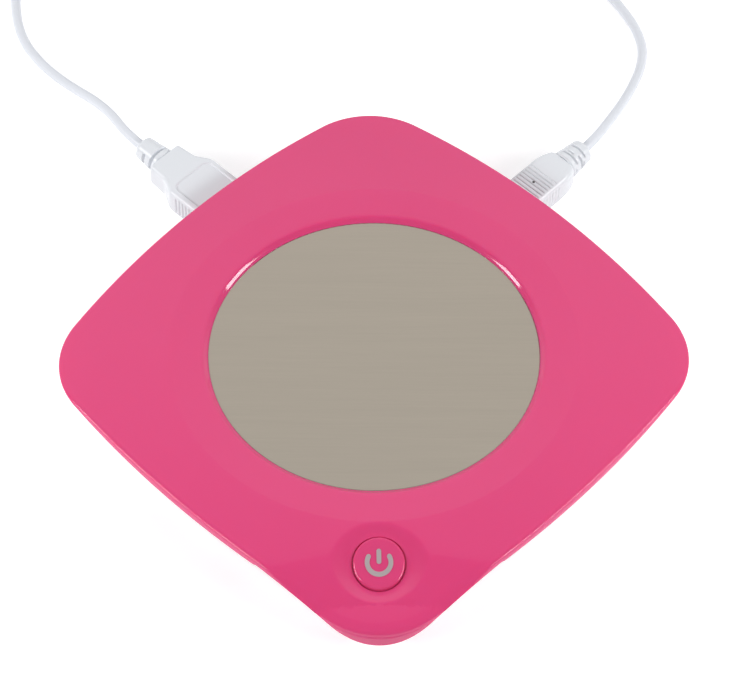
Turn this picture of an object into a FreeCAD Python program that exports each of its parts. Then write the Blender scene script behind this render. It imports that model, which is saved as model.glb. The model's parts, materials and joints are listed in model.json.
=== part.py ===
import FreeCAD, Part
import math
import os
import re
import Sketcher

# Electric mug warmer with a built-in cable hub. Millimetres, +Z up.
# The origin is on the table under the middle of the cover. The sloped button corner points to -X -Y.

Vector = FreeCAD.Vector
Rotation = FreeCAD.Rotation
Placement = FreeCAD.Placement

SIZES = [
    # plan of the cover and its crown
    ("half_side", 65.0, "half the width across two opposite sides, at their middle"),
    ("bulge_radius", 277.5, "radius of each bulged side"),
    ("corner_radius", 21.2, "radius of each plan corner"),
    ("plate_top", 17.2, "height of the heating plate's top face"),
    ("crown_drop", 0.45, "how far the cover's side middles lie under the plate's top"),
    ("crown_radius", 467.0, "dome radius of the cover"),
    ("rim_drop", 3.08, "rim's lower edge under the plate's top"),
    ("cover_wall", 2.0, "wall of the cover"),
    # sloped corner with the button
    ("slope_length", 19.373, "length of the sloped corner, from its start to the tip"),
    ("slope_radius", 53.0, "radius of the sloped corner's back"),
    ("tip_drop", 10.3, "upper edge of the sloped corner's tip under the plate's top"),
    ("tip_under", 11.75, "lower edge of the sloped corner's tip under the plate's top"),
    ("notch_inset", 17.873, "small step in the rim's lower edge, from the tip"),
    ("notch_drop", 2.6, "lower edge just outside that step, under the plate's top"),
    ("under_radius", 32.0, "radius of the sloped corner's lower edge"),
    # recess round the plate
    ("recess_width", 9.5, "width of the dished recess, from the plate's bore"),
    ("recess_bend", 45.0, "radius of the recess's gentle slope in section"),
    ("lip_width", 2.0, "width of the recess's steep part, from the plate's bore"),
    ("lip_lift", 0.65, "height of that turn over the plate's top"),
    ("recess_foot", 0.35, "foot of the recess under the plate's top"),
    # heating stack
    ("plate_margin", 23.6, "from the heating plate's edge to the middle of a side"),
    ("plate_thick", 1.5, "thickness of the heating plate"),
    ("plate_round", 0.3, "rounding of the heating plate's edge"),
    ("plate_gap", 0.3, "gap round the heating plate"),
    ("seal_inset", 0.3, "seal's outer edge inside the plate's edge"),
    ("seal_width", 2.5, "width of the plate seal"),
    ("seal_thick", 0.5, "thickness of the plate seal"),
    ("stack_inset", 3.6, "edge of the heater film and the insulation pad inside the plate's edge"),
    ("stack_gap", 0.6, "gap round the film and the pad"),
    ("film_thick", 0.3, "thickness of the heater film"),
    ("track_thick", 0.15, "thickness of the heater track"),
    ("track_width", 2.0, "width of the heater track"),
    ("track_pitch", 3.5, "spacing of the heater track's rings"),
    ("track_inner", 6.0, "radius of the innermost ring"),
    ("track_edge", 1.5, "least film left outside the heater track"),
    ("pad_thick", 2.0, "thickness of the insulation pad"),
    ("ring_wall", 2.6, "wall round the stack, outside the plate"),
    ("clamp_inset", 1.8, "edge of the clamp plate inside the wall round the stack"),
    ("clamp_thick", 1.0, "thickness of the clamp plate"),
    ("ear_out", 2.7, "clamp screws outside the wall round the stack"),
    ("ear_radius", 3.0, "radius of a clamp ear and its post"),
    ("ear_angle", 30.0, "direction of the first clamp screw, in degrees"),
    ("cutout_length", 17.0, "length of the thermal cutout"),
    ("cutout_width", 7.6, "width of the thermal cutout"),
    ("cutout_height", 4.0, "height of the thermal cutout"),
    ("cutout_room", 0.7, "room round the thermal cutout in its window"),
    ("pin_length", 3.0, "each pin of the thermal cutout"),
    ("pin_width", 1.2, "each pin of the thermal cutout"),
    ("pin_thick", 0.6, "each pin of the thermal cutout"),
    ("strap_width", 6.0, "width of the cutout's strap"),
    ("strap_thick", 0.8, "thickness of the cutout's strap"),
    ("strap_foot", 3.9, "length of each foot of the strap"),
    ("strap_gap", 0.3, "gap between the strap and the cutout's window"),
    # tray
    ("foot_stand", 1.6, "gap between table and tray"),
    ("floor_thick", 1.6, "floor of the tray"),
    ("base_inset", 7.0, "tray wall inside the cover's rim"),
    ("base_wall", 2.0, "wall of the tray"),
    ("seam_gap", 0.2, "gap between tray and cover"),
    ("rib_thick", 1.2, "locating rib of the cover, inside the tray wall"),
    ("rib_gap", 0.3, "gap between rib and tray wall"),
    ("rib_depth", 2.2, "depth of the locating rib under the rim"),
    ("foot_radius", 5.5, "radius of a rubber foot"),
    ("foot_inset", 17.573, "middle of a foot from the corner's tip"),
    ("foot_recess", 0.6, "depth of a foot's seat in the tray"),
    ("foot_gap", 0.3, "gap round a foot in its seat"),
    ("foot_round", 0.6, "rounding of a foot's lower edge"),
    # posts and screws
    ("post_out", 3.3, "housing posts outside the wall round the stack"),
    ("post_radius", 3.0, "radius of the housing posts"),
    ("post_split", 9.0, "height where tray posts meet cover posts"),
    ("screw_radius", 1.25, "shank of a housing screw"),
    ("screw_head", 2.3, "head radius of a housing screw"),
    ("screw_head_thick", 1.6, "head height of a housing screw"),
    ("screw_seat", 4.2, "height of the housing screws' seat"),
    ("screw_top", 14.0, "height of the housing screws' ends"),
    ("small_screw", 1.0, "shank radius of board and clamp screws"),
    ("small_head", 2.0, "head radius of board and clamp screws"),
    ("small_head_thick", 1.2, "head height of board and clamp screws"),
    ("board_screw_length", 3.0, "board screws under the head"),
    ("clamp_screw_length", 4.0, "clamp screws under the head"),
    ("pilot_gap", 0.05, "gap round a screw in its pilot hole"),
    ("screw_clear", 0.3, "gap round a screw in a through hole"),
    # board
    ("board_inset", 10.0, "edge of the board inside the cover's rim"),
    ("board_lift", 0.8, "gap between tray floor and board"),
    ("board_thick", 1.2, "thickness of the board"),
    ("board_post_inset", 19.0, "board screws inside the board's edge"),
    ("board_post_radius", 3.0, "radius of the board's posts"),
    ("post_room", 0.6, "gap round the housing posts in the board"),
    ("chip_x", -16.0, "place of the hub chip"),
    ("chip_y", 12.0, "place of the hub chip"),
    ("chip_length", 10.0, "hub chip"),
    ("chip_width", 5.3, "hub chip"),
    ("chip_height", 1.75, "hub chip"),
    ("crystal_x", -16.0, "place of the clock crystal"),
    ("crystal_y", 21.0, "place of the clock crystal"),
    ("crystal_length", 11.4, "clock crystal"),
    ("crystal_width", 4.6, "clock crystal"),
    ("crystal_height", 3.5, "clock crystal"),
    ("near_can_x", 24.0, "place of the first capacitor"),
    ("near_can_y", 24.0, "place of the first capacitor"),
    ("side_can_x", 30.0, "place of the second capacitor"),
    ("side_can_y", 18.0, "place of the second capacitor"),
    ("far_can_x", -26.0, "place of the third capacitor"),
    ("far_can_y", -14.0, "place of the third capacitor"),
    ("can_radius", 2.5, "capacitor cans"),
    ("can_height", 5.0, "capacitor cans"),
    # large sockets and plug
    ("a_offset", 10.8, "distance of the large sockets from the side's middle"),
    ("mouth_inset", 0.35, "socket mouths inside the tray's outer face"),
    ("window_room", 0.2, "room round a socket in its window"),
    ("a_width", 13.2, "large socket shell"),
    ("a_height", 5.8, "large socket shell"),
    ("a_depth", 13.9, "large socket shell"),
    ("a_lift", 3.5, "centre of a large socket over the board"),
    ("a_lip_width", 14.4, "flange at the mouth of a large socket"),
    ("a_lip_height", 7.0, "flange at the mouth of a large socket"),
    ("lip_thick", 0.4, "flange at the mouth of a large socket"),
    ("sheet_metal", 0.3, "sheet of sockets and plugs"),
    ("a_tongue_width", 11.1, "tongue of a large socket"),
    ("a_tongue_thick", 1.8, "tongue of a large socket"),
    ("a_tongue_length", 8.8, "tongue of a large socket"),
    ("tongue_root", 2.2, "block that carries a tongue"),
    ("leg_inset", 1.5, "legs of a large socket inside its sides"),
    ("leg_thick", 1.0, "legs of a large socket"),
    ("leg_width", 3.0, "legs of a large socket"),
    ("tongue_gap", 0.1, "gap between mated tongues"),
    ("a_plug_width", 12.0, "metal end of the large plug"),
    ("a_plug_height", 4.5, "metal end of the large plug"),
    ("a_plug_depth", 11.2, "metal end of the large plug inside the mouth"),
    ("grip_gap", 0.6, "gap between mouth and a plug's grip"),
    ("a_grip_width", 15.7, "grip of the large plug"),
    ("a_grip_height", 8.2, "grip of the large plug"),
    ("a_grip_end", 20.2, "end of the large grip's full width, from the mouth"),
    ("a_neck_end", 28.0, "end of the large grip's neck"),
    ("a_neck_width", 10.6, "neck of the large plug"),
    ("a_neck_height", 7.2, "neck of the large plug"),
    ("a_relief_end", 35.9, "end of the large plug's strain relief"),
    ("a_relief_radius", 3.4, "strain relief of the large plug at its root"),
    ("a_relief_tip", 2.9, "strain relief of the large plug at its end"),
    ("grip_round", 1.8, "corner rounding of both grips"),
    # small socket and plug
    ("mini_offset", 11.6, "distance of the small socket from the side's middle"),
    ("mini_width", 7.7, "small socket shell"),
    ("mini_height", 3.95, "small socket shell"),
    ("mini_depth", 9.0, "small socket shell"),
    ("mini_tongue_width", 4.6, "tongue of the small socket"),
    ("mini_tongue_thick", 0.9, "tongue of the small socket"),
    ("mini_tongue_length", 5.6, "tongue of the small socket"),
    ("mini_plug_width", 6.8, "metal end of the small plug"),
    ("mini_plug_height", 3.0, "metal end of the small plug"),
    ("mini_plug_depth", 6.2, "metal end of the small plug inside the mouth"),
    ("mini_grip_width", 10.9, "grip of the small plug"),
    ("mini_grip_height", 7.8, "grip of the small plug"),
    ("mini_grip_end", 18.5, "end of the small grip's full width, from the mouth"),
    ("mini_neck_end", 25.0, "end of the small grip's shoulder"),
    ("mini_neck_width", 7.9, "shoulder of the small plug"),
    ("mini_neck_height", 7.0, "shoulder of the small plug"),
    ("mini_relief_end", 32.7, "end of the small plug's strain relief"),
    ("mini_relief_radius", 3.6, "strain relief of the small plug at its root"),
    ("mini_relief_tip", 2.7, "strain relief of the small plug at its end"),
    ("groove_depth", 0.5, "grooves of the grips and strain reliefs"),
    ("groove_width", 0.6, "grooves of the grips and strain reliefs"),
    ("groove_pitch", 1.5, "spacing of the small grip's grooves"),
    ("groove_count", 5, "number of the small grip's grooves"),
    ("groove_inset", 1.5, "first of these grooves from the end of the grip's full width"),
    ("relief_pitch", 1.9, "spacing of the strain reliefs' grooves"),
    ("relief_inset", 1.2, "first of these grooves from the neck"),
    ("relief_round", 0.8, "bevel of the strain reliefs' ends"),
    # button and switch
    ("button_room", 1.243, "gap between the button's flange and the tray's wall, at the corner"),
    ("seat_drop", 2.6, "middle of the button's seat under the plate's top"),
    ("seat_slope", 18.0, "slope of the seat and of the button's face, in degrees"),
    ("dish_angle", 24.0, "angle between the dish's wall and the seat, in degrees"),
    ("dish_height", 3.5, "height of the cone that cuts the dish"),
    ("pan_radius", 12.5, "radius of the thick pan under the dish"),
    ("pan_wall", 2.2, "wall under the seat"),
    ("hole_radius", 6.7, "radius of the button hole"),
    ("button_gap", 0.4, "gap round the button cap"),
    ("button_proud", 0.7, "button's face over its seat"),
    ("button_round", 0.6, "rounding of the button's edge"),
    ("button_wall", 1.1, "wall of the button's skirt"),
    ("collar_wall", 1.2, "wall of the button's guide collar"),
    ("collar_bottom", 8.7, "height of the guide collar's lower end"),
    ("flange_radius", 7.4, "flange that keeps the button in"),
    ("flange_thick", 1.0, "flange that keeps the button in"),
    ("flange_gap", 0.1, "gap between flange and collar"),
    ("switch_side", 5.8, "push switch, square"),
    ("switch_height", 4.7, "push switch above the board"),
    ("plunger_radius", 1.5, "plunger of the push switch"),
    ("plunger_gap", 0.08, "running gap round the plunger"),
    ("plunger_inside", 1.6, "length of the plunger inside the switch at rest"),
    ("plunger_outside", 2.3, "length of the plunger above the switch at rest"),
    ("button_travel", 1.8, "travel of the button"),
    ("mark_ring", 2.88, "mean radius of the power symbol's ring"),
    ("mark_stroke", 1.15, "stroke of the power symbol"),
    ("mark_opening", 61.0, "half the opening of the ring, in degrees"),
    ("mark_bar_top", 3.2, "upper end of the symbol's bar from the ring's middle"),
    ("mark_bar_bottom", 0.4, "lower end of the symbol's bar from the ring's middle"),
    ("mark_thick", 0.1, "thickness of the symbol's print"),
    # cord
    ("cord_radius", 1.3, "radius of the cord"),
    ("coil_inner", 9.5, "least radius of the coil's spiral"),
    ("coil_gap", 0.45, "gap between neighbouring loops of the coil"),
    ("coil_loops", 3, "loops in each layer of the coil"),
    ("tie_width", 6.0, "width of the cord tie"),
    ("tie_thick", 0.5, "thickness of the cord tie"),
    ("tie_room", 0.35, "room between cord and tie"),
    ("lead_radius", 0.6, "radius of a heater lead"),
    ("lead_bend", 2.5, "bend radius of a heater lead"),
    ("lead_run", 1.0, "straight end of the bent lead, from the pin"),
    ("lead_x", -22.0, "place of the straight lead"),
    ("lead_y", -10.0, "place of the straight lead"),
]

doc = FreeCAD.newDocument("MugWarmer")
sheet = doc.addObject("Spreadsheet::Sheet", "Sizes")
for row, (name, value, meaning) in enumerate(SIZES, start=1):
    sheet.set("A%d" % row, str(value))
    sheet.setAlias("A%d" % row, name)
    sheet.set("B%d" % row, meaning)
doc.recompute()

ALIASES = {name for name, value, meaning in SIZES}
NODES = []

# Sizes that follow from the sheet, as expressions
OVER_BULGE = "(bulge_radius - half_side)"
CORNER_CENTRE = "((sqrt(2 * (bulge_radius - corner_radius)^2 - %s^2) - %s) / 2)" % (OVER_BULGE, OVER_BULGE)
TIP_REACH = "(sqrt(2) * %s + corner_radius)" % CORNER_CENTRE
CROWN_TOP = "(plate_top - crown_drop + crown_radius - sqrt(crown_radius^2 - half_side^2))"
CREASE_REACH = "(%s - slope_length)" % TIP_REACH
NOTCH_REACH = "(%s - notch_inset)" % TIP_REACH
FOOT_REACH = "(%s - foot_inset)" % TIP_REACH
CREASE_TOP = "(%s - crown_radius + sqrt(crown_radius^2 - %s^2))" % (CROWN_TOP, CREASE_REACH)
PLATE_RADIUS = "(half_side - plate_margin)"
PLATE_BORE = "(%s + plate_gap)" % PLATE_RADIUS
RECESS_RADIUS = "(%s + recess_width)" % PLATE_BORE
LIP_RADIUS = "(%s + lip_width)" % PLATE_BORE
RECESS_TOP = "(%s - crown_radius + sqrt(crown_radius^2 - %s^2))" % (CROWN_TOP, RECESS_RADIUS)
SEAL_OUTER = "(%s - seal_inset)" % PLATE_RADIUS
STACK_RADIUS = "(%s - stack_inset)" % PLATE_RADIUS
RING_OUTER = "(%s + ring_wall)" % PLATE_BORE
CLAMP_RADIUS = "(%s - clamp_inset)" % RING_OUTER
EAR_REACH = "(%s + ear_out)" % RING_OUTER
POST_REACH = "(%s + post_out)" % RING_OUTER
PLATE_UNDER = "(plate_top - plate_thick)"
LEDGE_TOP = "(%s - seal_thick)" % PLATE_UNDER
FILM_UNDER = "(%s - film_thick)" % PLATE_UNDER
TRACK_UNDER = "(%s - track_thick)" % FILM_UNDER
STACK_UNDER = "(%s - pad_thick)" % TRACK_UNDER
CLAMP_UNDER = "(%s - clamp_thick)" % STACK_UNDER
BORE_RADIUS = "(%s + stack_gap)" % STACK_RADIUS
FLOOR_TOP = "(foot_stand + floor_thick)"
BOARD_UNDER = "(%s + board_lift)" % FLOOR_TOP
BOARD_TOP = "(%s + board_thick)" % BOARD_UNDER
BOARD_POST_REACH = "(half_side - board_inset - board_post_inset)"
INNER_INSET = "(base_inset + base_wall)"
RIB_INSET = "(%s + rib_gap)" % INNER_INSET
HOLLOW_INSET = "(%s + rib_thick)" % RIB_INSET
MOUTH = "(half_side - base_inset - mouth_inset)"
A_CENTRE = "(%s + a_lift)" % BOARD_TOP
MINI_CENTRE = "(%s + mini_height / 2)" % BOARD_TOP
SWITCH_TOP = "(%s + switch_height)" % BOARD_TOP
BUTTON_CEILING = "(%s + plunger_outside)" % SWITCH_TOP
SEAT_HEIGHT = "(plate_top - seat_drop)"
FLANGE_TOP = "(collar_bottom - flange_gap)"
CAP_RADIUS = "(hole_radius - button_gap)"
SEAT_REACH = "(%s - %s - flange_radius - button_room)" % (TIP_REACH, INNER_INSET)
SEAT_X = "(-%s / sqrt(2))" % SEAT_REACH
HIGH = "(plate_top + 12)"
WIDE = "(4 * half_side)"

DIAGONAL = Rotation(Vector(0, 0, 1), 45) * Rotation(Vector(1, 0, 0), 90)


def bound(text):
    """The expression with each size named on its sheet."""
    return re.sub(r"[a-z_]+", lambda m: "Sizes." + m.group(0) if m.group(0) in ALIASES else m.group(0), text)


def size(text):
    """The value of an expression."""
    return float(sheet.evalExpression(text))


def tie(thing, **expressions):
    """Bind properties of a document object to the sheet. A double underscore stands for a dot."""
    for name, text in expressions.items():
        thing.setExpression(name.replace("__", "."), bound(text))


def hold(sketch, kind, *args):
    """A constraint whose last argument is an expression."""
    text = args[-1]
    index = sketch.addConstraint(Sketcher.Constraint(kind, *args[:-1], size(text)))
    sketch.setExpression("Constraints[%d]" % index, bound(text))


def arc_between(start, end, radius):
    """The minor arc from start to end: its centre is on the left where radius is positive."""
    chord = end - start
    half = chord.Length / 2
    rise = math.sqrt(max(radius * radius - half * half, 0.0))
    left = Vector(-chord.y, chord.x, 0).normalize()
    centre = (start + end) * 0.5 + left * (rise if radius > 0 else -rise)
    first, last = (start, end) if radius > 0 else (end, start)
    turn = [math.atan2(p.y - centre.y, p.x - centre.x) for p in (first, last)]
    return Part.ArcOfCircle(Part.Circle(centre, Vector(0, 0, 1), abs(radius)), turn[0], turn[1])


def outline(sketch, corners):
    """A closed outline. A corner is (x, y) or (x, y, radius), where radius bends the edge that leaves it."""
    points = [Vector(size(c[0]), size(c[1]), 0) for c in corners]
    ends = []
    first = sketch.GeometryCount
    for index, corner in enumerate(corners):
        start, end = points[index], points[(index + 1) % len(points)]
        if len(corner) == 3:
            radius = size(corner[2])
            edge = sketch.addGeometry(arc_between(start, end, radius))
            ends.append((1, 2) if radius > 0 else (2, 1))
            hold(sketch, "Radius", edge, corner[2].lstrip("-"))
        else:
            edge = sketch.addGeometry(Part.LineSegment(start, end))
            ends.append((1, 2))
    for index, corner in enumerate(corners):
        edge = first + index
        before = first + (index - 1) % len(corners)
        sketch.addConstraint(Sketcher.Constraint("Coincident", before, ends[index - 1][1], edge, ends[index][0]))
        hold(sketch, "DistanceX", -1, 1, edge, ends[index][0], corner[0])
        hold(sketch, "DistanceY", -1, 1, edge, ends[index][0], corner[1])


def circle(sketch, x, y, radius):
    """A circle in a sketch."""
    edge = sketch.addGeometry(Part.Circle(Vector(size(x), size(y), 0), Vector(0, 0, 1), size(radius)))
    hold(sketch, "Radius", edge, radius)
    hold(sketch, "DistanceX", -1, 1, edge, 3, x)
    hold(sketch, "DistanceY", -1, 1, edge, 3, y)


def square_plan(inset):
    """Corners of the bulged square plan, moved inwards by inset."""
    share = "((bulge_radius - %s) / (bulge_radius - corner_radius))" % inset
    far = "(half_side - bulge_radius + (%s - half_side + bulge_radius) * %s)" % (CORNER_CENTRE, share)
    near = "(%s * %s)" % (CORNER_CENTRE, share)
    side = "(bulge_radius - %s)" % inset
    corner = "(corner_radius - %s)" % inset
    return [
        (far, "-" + near, side), (far, near, corner),
        (near, far, side), ("-" + near, far, corner),
        ("-" + far, near, side), ("-" + far, "-" + near, corner),
        ("-" + near, "-" + far, side), (near, "-" + far, corner),
    ]


def box_plan(x, y, width, depth, rounding=None):
    """Corners of a rectangle about (x, y), with rounded corners where rounding is given."""
    right, left = "(%s + (%s) / 2)" % (x, width), "(%s - (%s) / 2)" % (x, width)
    back, front = "(%s + (%s) / 2)" % (y, depth), "(%s - (%s) / 2)" % (y, depth)
    if rounding is None:
        return [(left, front), (right, front), (right, back), (left, back)]
    inner = ["(%s + %s)" % (left, rounding), "(%s - %s)" % (right, rounding)]
    lower, upper = "(%s + %s)" % (front, rounding), "(%s - %s)" % (back, rounding)
    return [
        (inner[0], front), (inner[1], front, rounding), (right, lower), (right, upper, rounding),
        (inner[1], back), (inner[0], back, rounding), (left, upper), (left, lower, rounding),
    ]


def bar_plan(near, far, half_width, turn):
    """Corners of a bar that points away from the middle in a direction, between two distances."""
    ahead, aside = "cos(%s)" % turn, "sin(%s)" % turn
    corners = []
    for reach, side in ((near, "-"), (far, "-"), (far, "+"), (near, "+")):
        other = "+" if side == "-" else "-"
        corners.append(("((%s) * %s %s %s * %s)" % (reach, ahead, other, half_width, aside),
                        "((%s) * %s %s %s * %s)" % (reach, aside, side, half_width, ahead)))
    return corners


def keep(thing, label):
    """Name an object as a node of the part."""
    thing.Label = label
    NODES.append(thing)
    return thing


class Piece:
    """A PartDesign body drawn with sketches on its own origin planes."""

    def __init__(self, label, node=True):
        self.body = doc.addObject("PartDesign::Body", "Body_" + label)
        self.body.Label = label
        if node:
            NODES.append(self.body)

    def sketch(self, plane="XY_Plane", lift="0", turn=0):
        drawing = self.body.newObject("Sketcher::SketchObject", "Sketch")
        support = [f for f in self.body.Origin.OriginFeatures if f.Role == plane][0]
        drawing.AttachmentSupport = [(support, "")]
        drawing.MapMode = "FlatFace"
        drawing.AttachmentOffset = Placement(Vector(0, 0, 0), Rotation(Vector(0, 1, 0), turn))
        tie(drawing, AttachmentOffset__Base__z=lift)
        return drawing

    def feature(self, kind, drawing, **expressions):
        made = self.body.newObject("PartDesign::" + kind, kind)
        made.Profile = drawing
        tie(made, **expressions)
        return made

    def pad(self, low, high, *shapes):
        """Material between two heights over closed outlines and circles."""
        drawing = self.sketch(lift=low)
        fill(drawing, shapes)
        return self.feature("Pad", drawing, Length="%s - (%s)" % (high, low))

    def pocket(self, low, high, *shapes):
        """A cut between two heights."""
        drawing = self.sketch(lift=high)
        fill(drawing, shapes)
        return self.feature("Pocket", drawing, Length="%s - (%s)" % (high, low))

    def through(self, plane, turn, length, *shapes, cut=True):
        """A cut or a pad of the given length, centred on an upright plane."""
        drawing = self.sketch(plane, turn=turn)
        fill(drawing, shapes)
        made = self.feature("Pocket" if cut else "Pad", drawing, Length=length)
        made.Midplane = True
        return made

    def spin(self, corners, cut=False):
        """A solid or a cut turned about the upright axis from corners (radius, height)."""
        drawing = self.sketch("XZ_Plane")
        outline(drawing, corners)
        made = self.feature("Groove" if cut else "Revolution", drawing)
        made.ReferenceAxis = (drawing, ["V_Axis"])
        made.Angle = 360
        return made

    def polar(self, features, count):
        """Copies of features round the upright axis."""
        pattern = self.body.newObject("PartDesign::PolarPattern", "Pattern")
        pattern.Originals = features
        axis = [f for f in self.body.Origin.OriginFeatures if f.Role == "Z_Axis"][0]
        pattern.Axis = (axis, [""])
        pattern.Angle = 360
        pattern.Occurrences = count
        self.body.Tip = pattern
        return pattern

    def fillet(self, chosen, radius):
        """Round the edges that the chooser accepts."""
        doc.recompute()
        base = self.body.Tip
        names = ["Edge%d" % (i + 1) for i, edge in enumerate(base.Shape.Edges) if chosen(edge)]
        made = self.body.newObject("PartDesign::Fillet", "Fillet")
        made.Base = (base, names)
        tie(made, Radius=radius)
        return made

    def place(self, placement, **expressions):
        self.body.Placement = placement
        tie(self.body, **expressions)


def fill(drawing, shapes):
    """Draw closed outlines (lists) and circles (tuples) in a sketch."""
    for shape in shapes:
        if isinstance(shape, tuple):
            circle(drawing, *shape)
        else:
            outline(drawing, shape)


def level(edge, height):
    """Whether an edge lies at a height."""
    box = edge.BoundBox
    return abs(box.ZMin - height) < 1e-4 and abs(box.ZMax - height) < 1e-4


def facing_out(across, height, azimuth):
    """Place a body drawn along +Z so that it faces out of a side, at its socket's mouth."""
    turn = Rotation(Vector(0, 0, 1), azimuth) * Rotation(Vector(1, 1, 1), 120)
    along, side = math.cos(math.radians(azimuth)), math.sin(math.radians(azimuth))
    x = "%d * %s - %d * (%s)" % (round(along), MOUTH, round(side), across)
    y = "%d * %s + %d * (%s)" % (round(side), MOUTH, round(along), across)
    return Placement(Vector(0, 0, 0), turn), dict(
        Placement__Base__x=x, Placement__Base__y=y, Placement__Base__z=height)


# Part workbench helpers for the two shells

def drawn(name, *shapes, rotation=Rotation(), lift="0"):
    """A free sketch."""
    drawing = doc.addObject("Sketcher::SketchObject", name)
    drawing.Placement = Placement(Vector(0, 0, 0), rotation)
    tie(drawing, Placement__Base__z=lift)
    fill(drawing, shapes)
    return drawing


def extruded(name, drawing, length, both=False):
    """A sketch drawn out along its normal."""
    solid = doc.addObject("Part::Extrusion", name)
    solid.Base = drawing
    solid.DirMode = "Normal"
    solid.Solid = True
    solid.Symmetric = both
    tie(solid, LengthFwd=length)
    return solid


def prism(name, low, high, *shapes):
    """Closed outlines drawn up between two heights."""
    return extruded(name, drawn(name + "_sketch", *shapes, lift=low), "%s - (%s)" % (high, low))


def turned(name, corners):
    """Corners (radius, height) turned about the upright axis."""
    solid = doc.addObject("Part::Revolution", name)
    solid.Source = drawn(name + "_sketch", corners, rotation=Rotation(Vector(1, 0, 0), 90))
    solid.Axis = Vector(0, 0, 1)
    solid.Angle = 360
    solid.Solid = True
    return solid


def joined(name, *solids):
    both = doc.addObject("Part::MultiFuse", name)
    both.Shapes = list(solids)
    both.Refine = True
    return both


def shared(name, *solids):
    both = doc.addObject("Part::MultiCommon", name)
    both.Shapes = list(solids)
    return both


def less(name, base, tool):
    rest = doc.addObject("Part::Cut", name)
    rest.Base = base
    rest.Tool = tool
    return rest


def cylinder(name, radius, low, high, x="0", y="0"):
    solid = doc.addObject("Part::Cylinder", name)
    tie(solid, Radius=radius, Height="%s - (%s)" % (high, low),
        Placement__Base__x=x, Placement__Base__y=y, Placement__Base__z=low)
    return solid


def round_place(reach, degrees):
    """Where a place at a distance and direction from the middle lies."""
    turn = "(%s)" % degrees
    return "((%s) * cos(%s))" % (reach, turn), "((%s) * sin(%s))" % (reach, turn)


def under_top(name, drop):
    """Everything under the cover's top surface, lowered by drop."""
    edge_radius = "(2 * half_side)"
    edge_height = "(%s - crown_radius + sqrt(crown_radius^2 - %s^2))" % (CROWN_TOP, edge_radius)
    dome = turned(name + "_dome", [
        ("0", "-5"), (edge_radius, "-5"), (edge_radius, "%s - %s" % (edge_height, drop), "crown_radius"),
        ("0", "%s - %s" % (CROWN_TOP, drop))])
    rise = "(plate_top - tip_drop)"
    run_in, run_out = "9", "12"
    steep, gentle = "40", "17"
    slope = extruded(name + "_slope", drawn(name + "_slope_sketch", [
        ("-(%s + %s)" % (TIP_REACH, run_out), HIGH),
        ("-(%s + %s)" % (TIP_REACH, run_out), "%s - %s - %s * tan(%s)" % (rise, drop, run_out, steep)),
        ("-%s" % TIP_REACH, "%s - %s" % (rise, drop), "-slope_radius"),
        ("-" + CREASE_REACH, "%s - %s" % (CREASE_TOP, drop)),
        ("-%s + %s" % (CREASE_REACH, run_in), "%s - %s + %s * tan(%s)" % (CREASE_TOP, drop, run_in, gentle)),
        ("-%s + %s" % (CREASE_REACH, run_in), HIGH),
    ], rotation=DIAGONAL), WIDE, both=True)
    return less(name, dome, slope)


def above_edge(name, drop):
    """Everything above the cover's lower edge, lowered by drop."""
    far = "(2 * half_side)"
    run_out = "12"
    return extruded(name, drawn(name + "_sketch", [
        (far, "plate_top - rim_drop - %s" % drop), (far, HIGH), ("-" + far, HIGH),
        ("-" + far, "plate_top - tip_under - %s - %s" % (drop, run_out)),
        ("-(%s + %s)" % (TIP_REACH, run_out), "plate_top - tip_under - %s - %s" % (drop, run_out)),
        ("-%s" % TIP_REACH, "plate_top - tip_under - %s" % drop, "-under_radius"),
        ("-" + NOTCH_REACH, "plate_top - notch_drop - %s" % drop),
        ("-" + NOTCH_REACH, "plate_top - rim_drop - %s" % drop),
    ], rotation=DIAGONAL), WIDE, both=True)


def seat_slab(name, drop, high):
    """Everything above the button's sloped seat, lowered by drop, up to a height."""
    lean = "%s * tan(seat_slope)"
    far = "(2 * pan_radius)"
    low_end, high_end = "-%s - %s" % (SEAT_REACH, far), "-%s + %s" % (SEAT_REACH, far)
    return extruded(name, drawn(name + "_sketch", [
        (low_end, "%s - (%s) - " % (SEAT_HEIGHT, drop) + lean % far),
        (high_end, "%s - (%s) + " % (SEAT_HEIGHT, drop) + lean % far),
        (high_end, high), (low_end, high),
    ], rotation=DIAGONAL), "4 * pan_radius", both=True)


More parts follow.
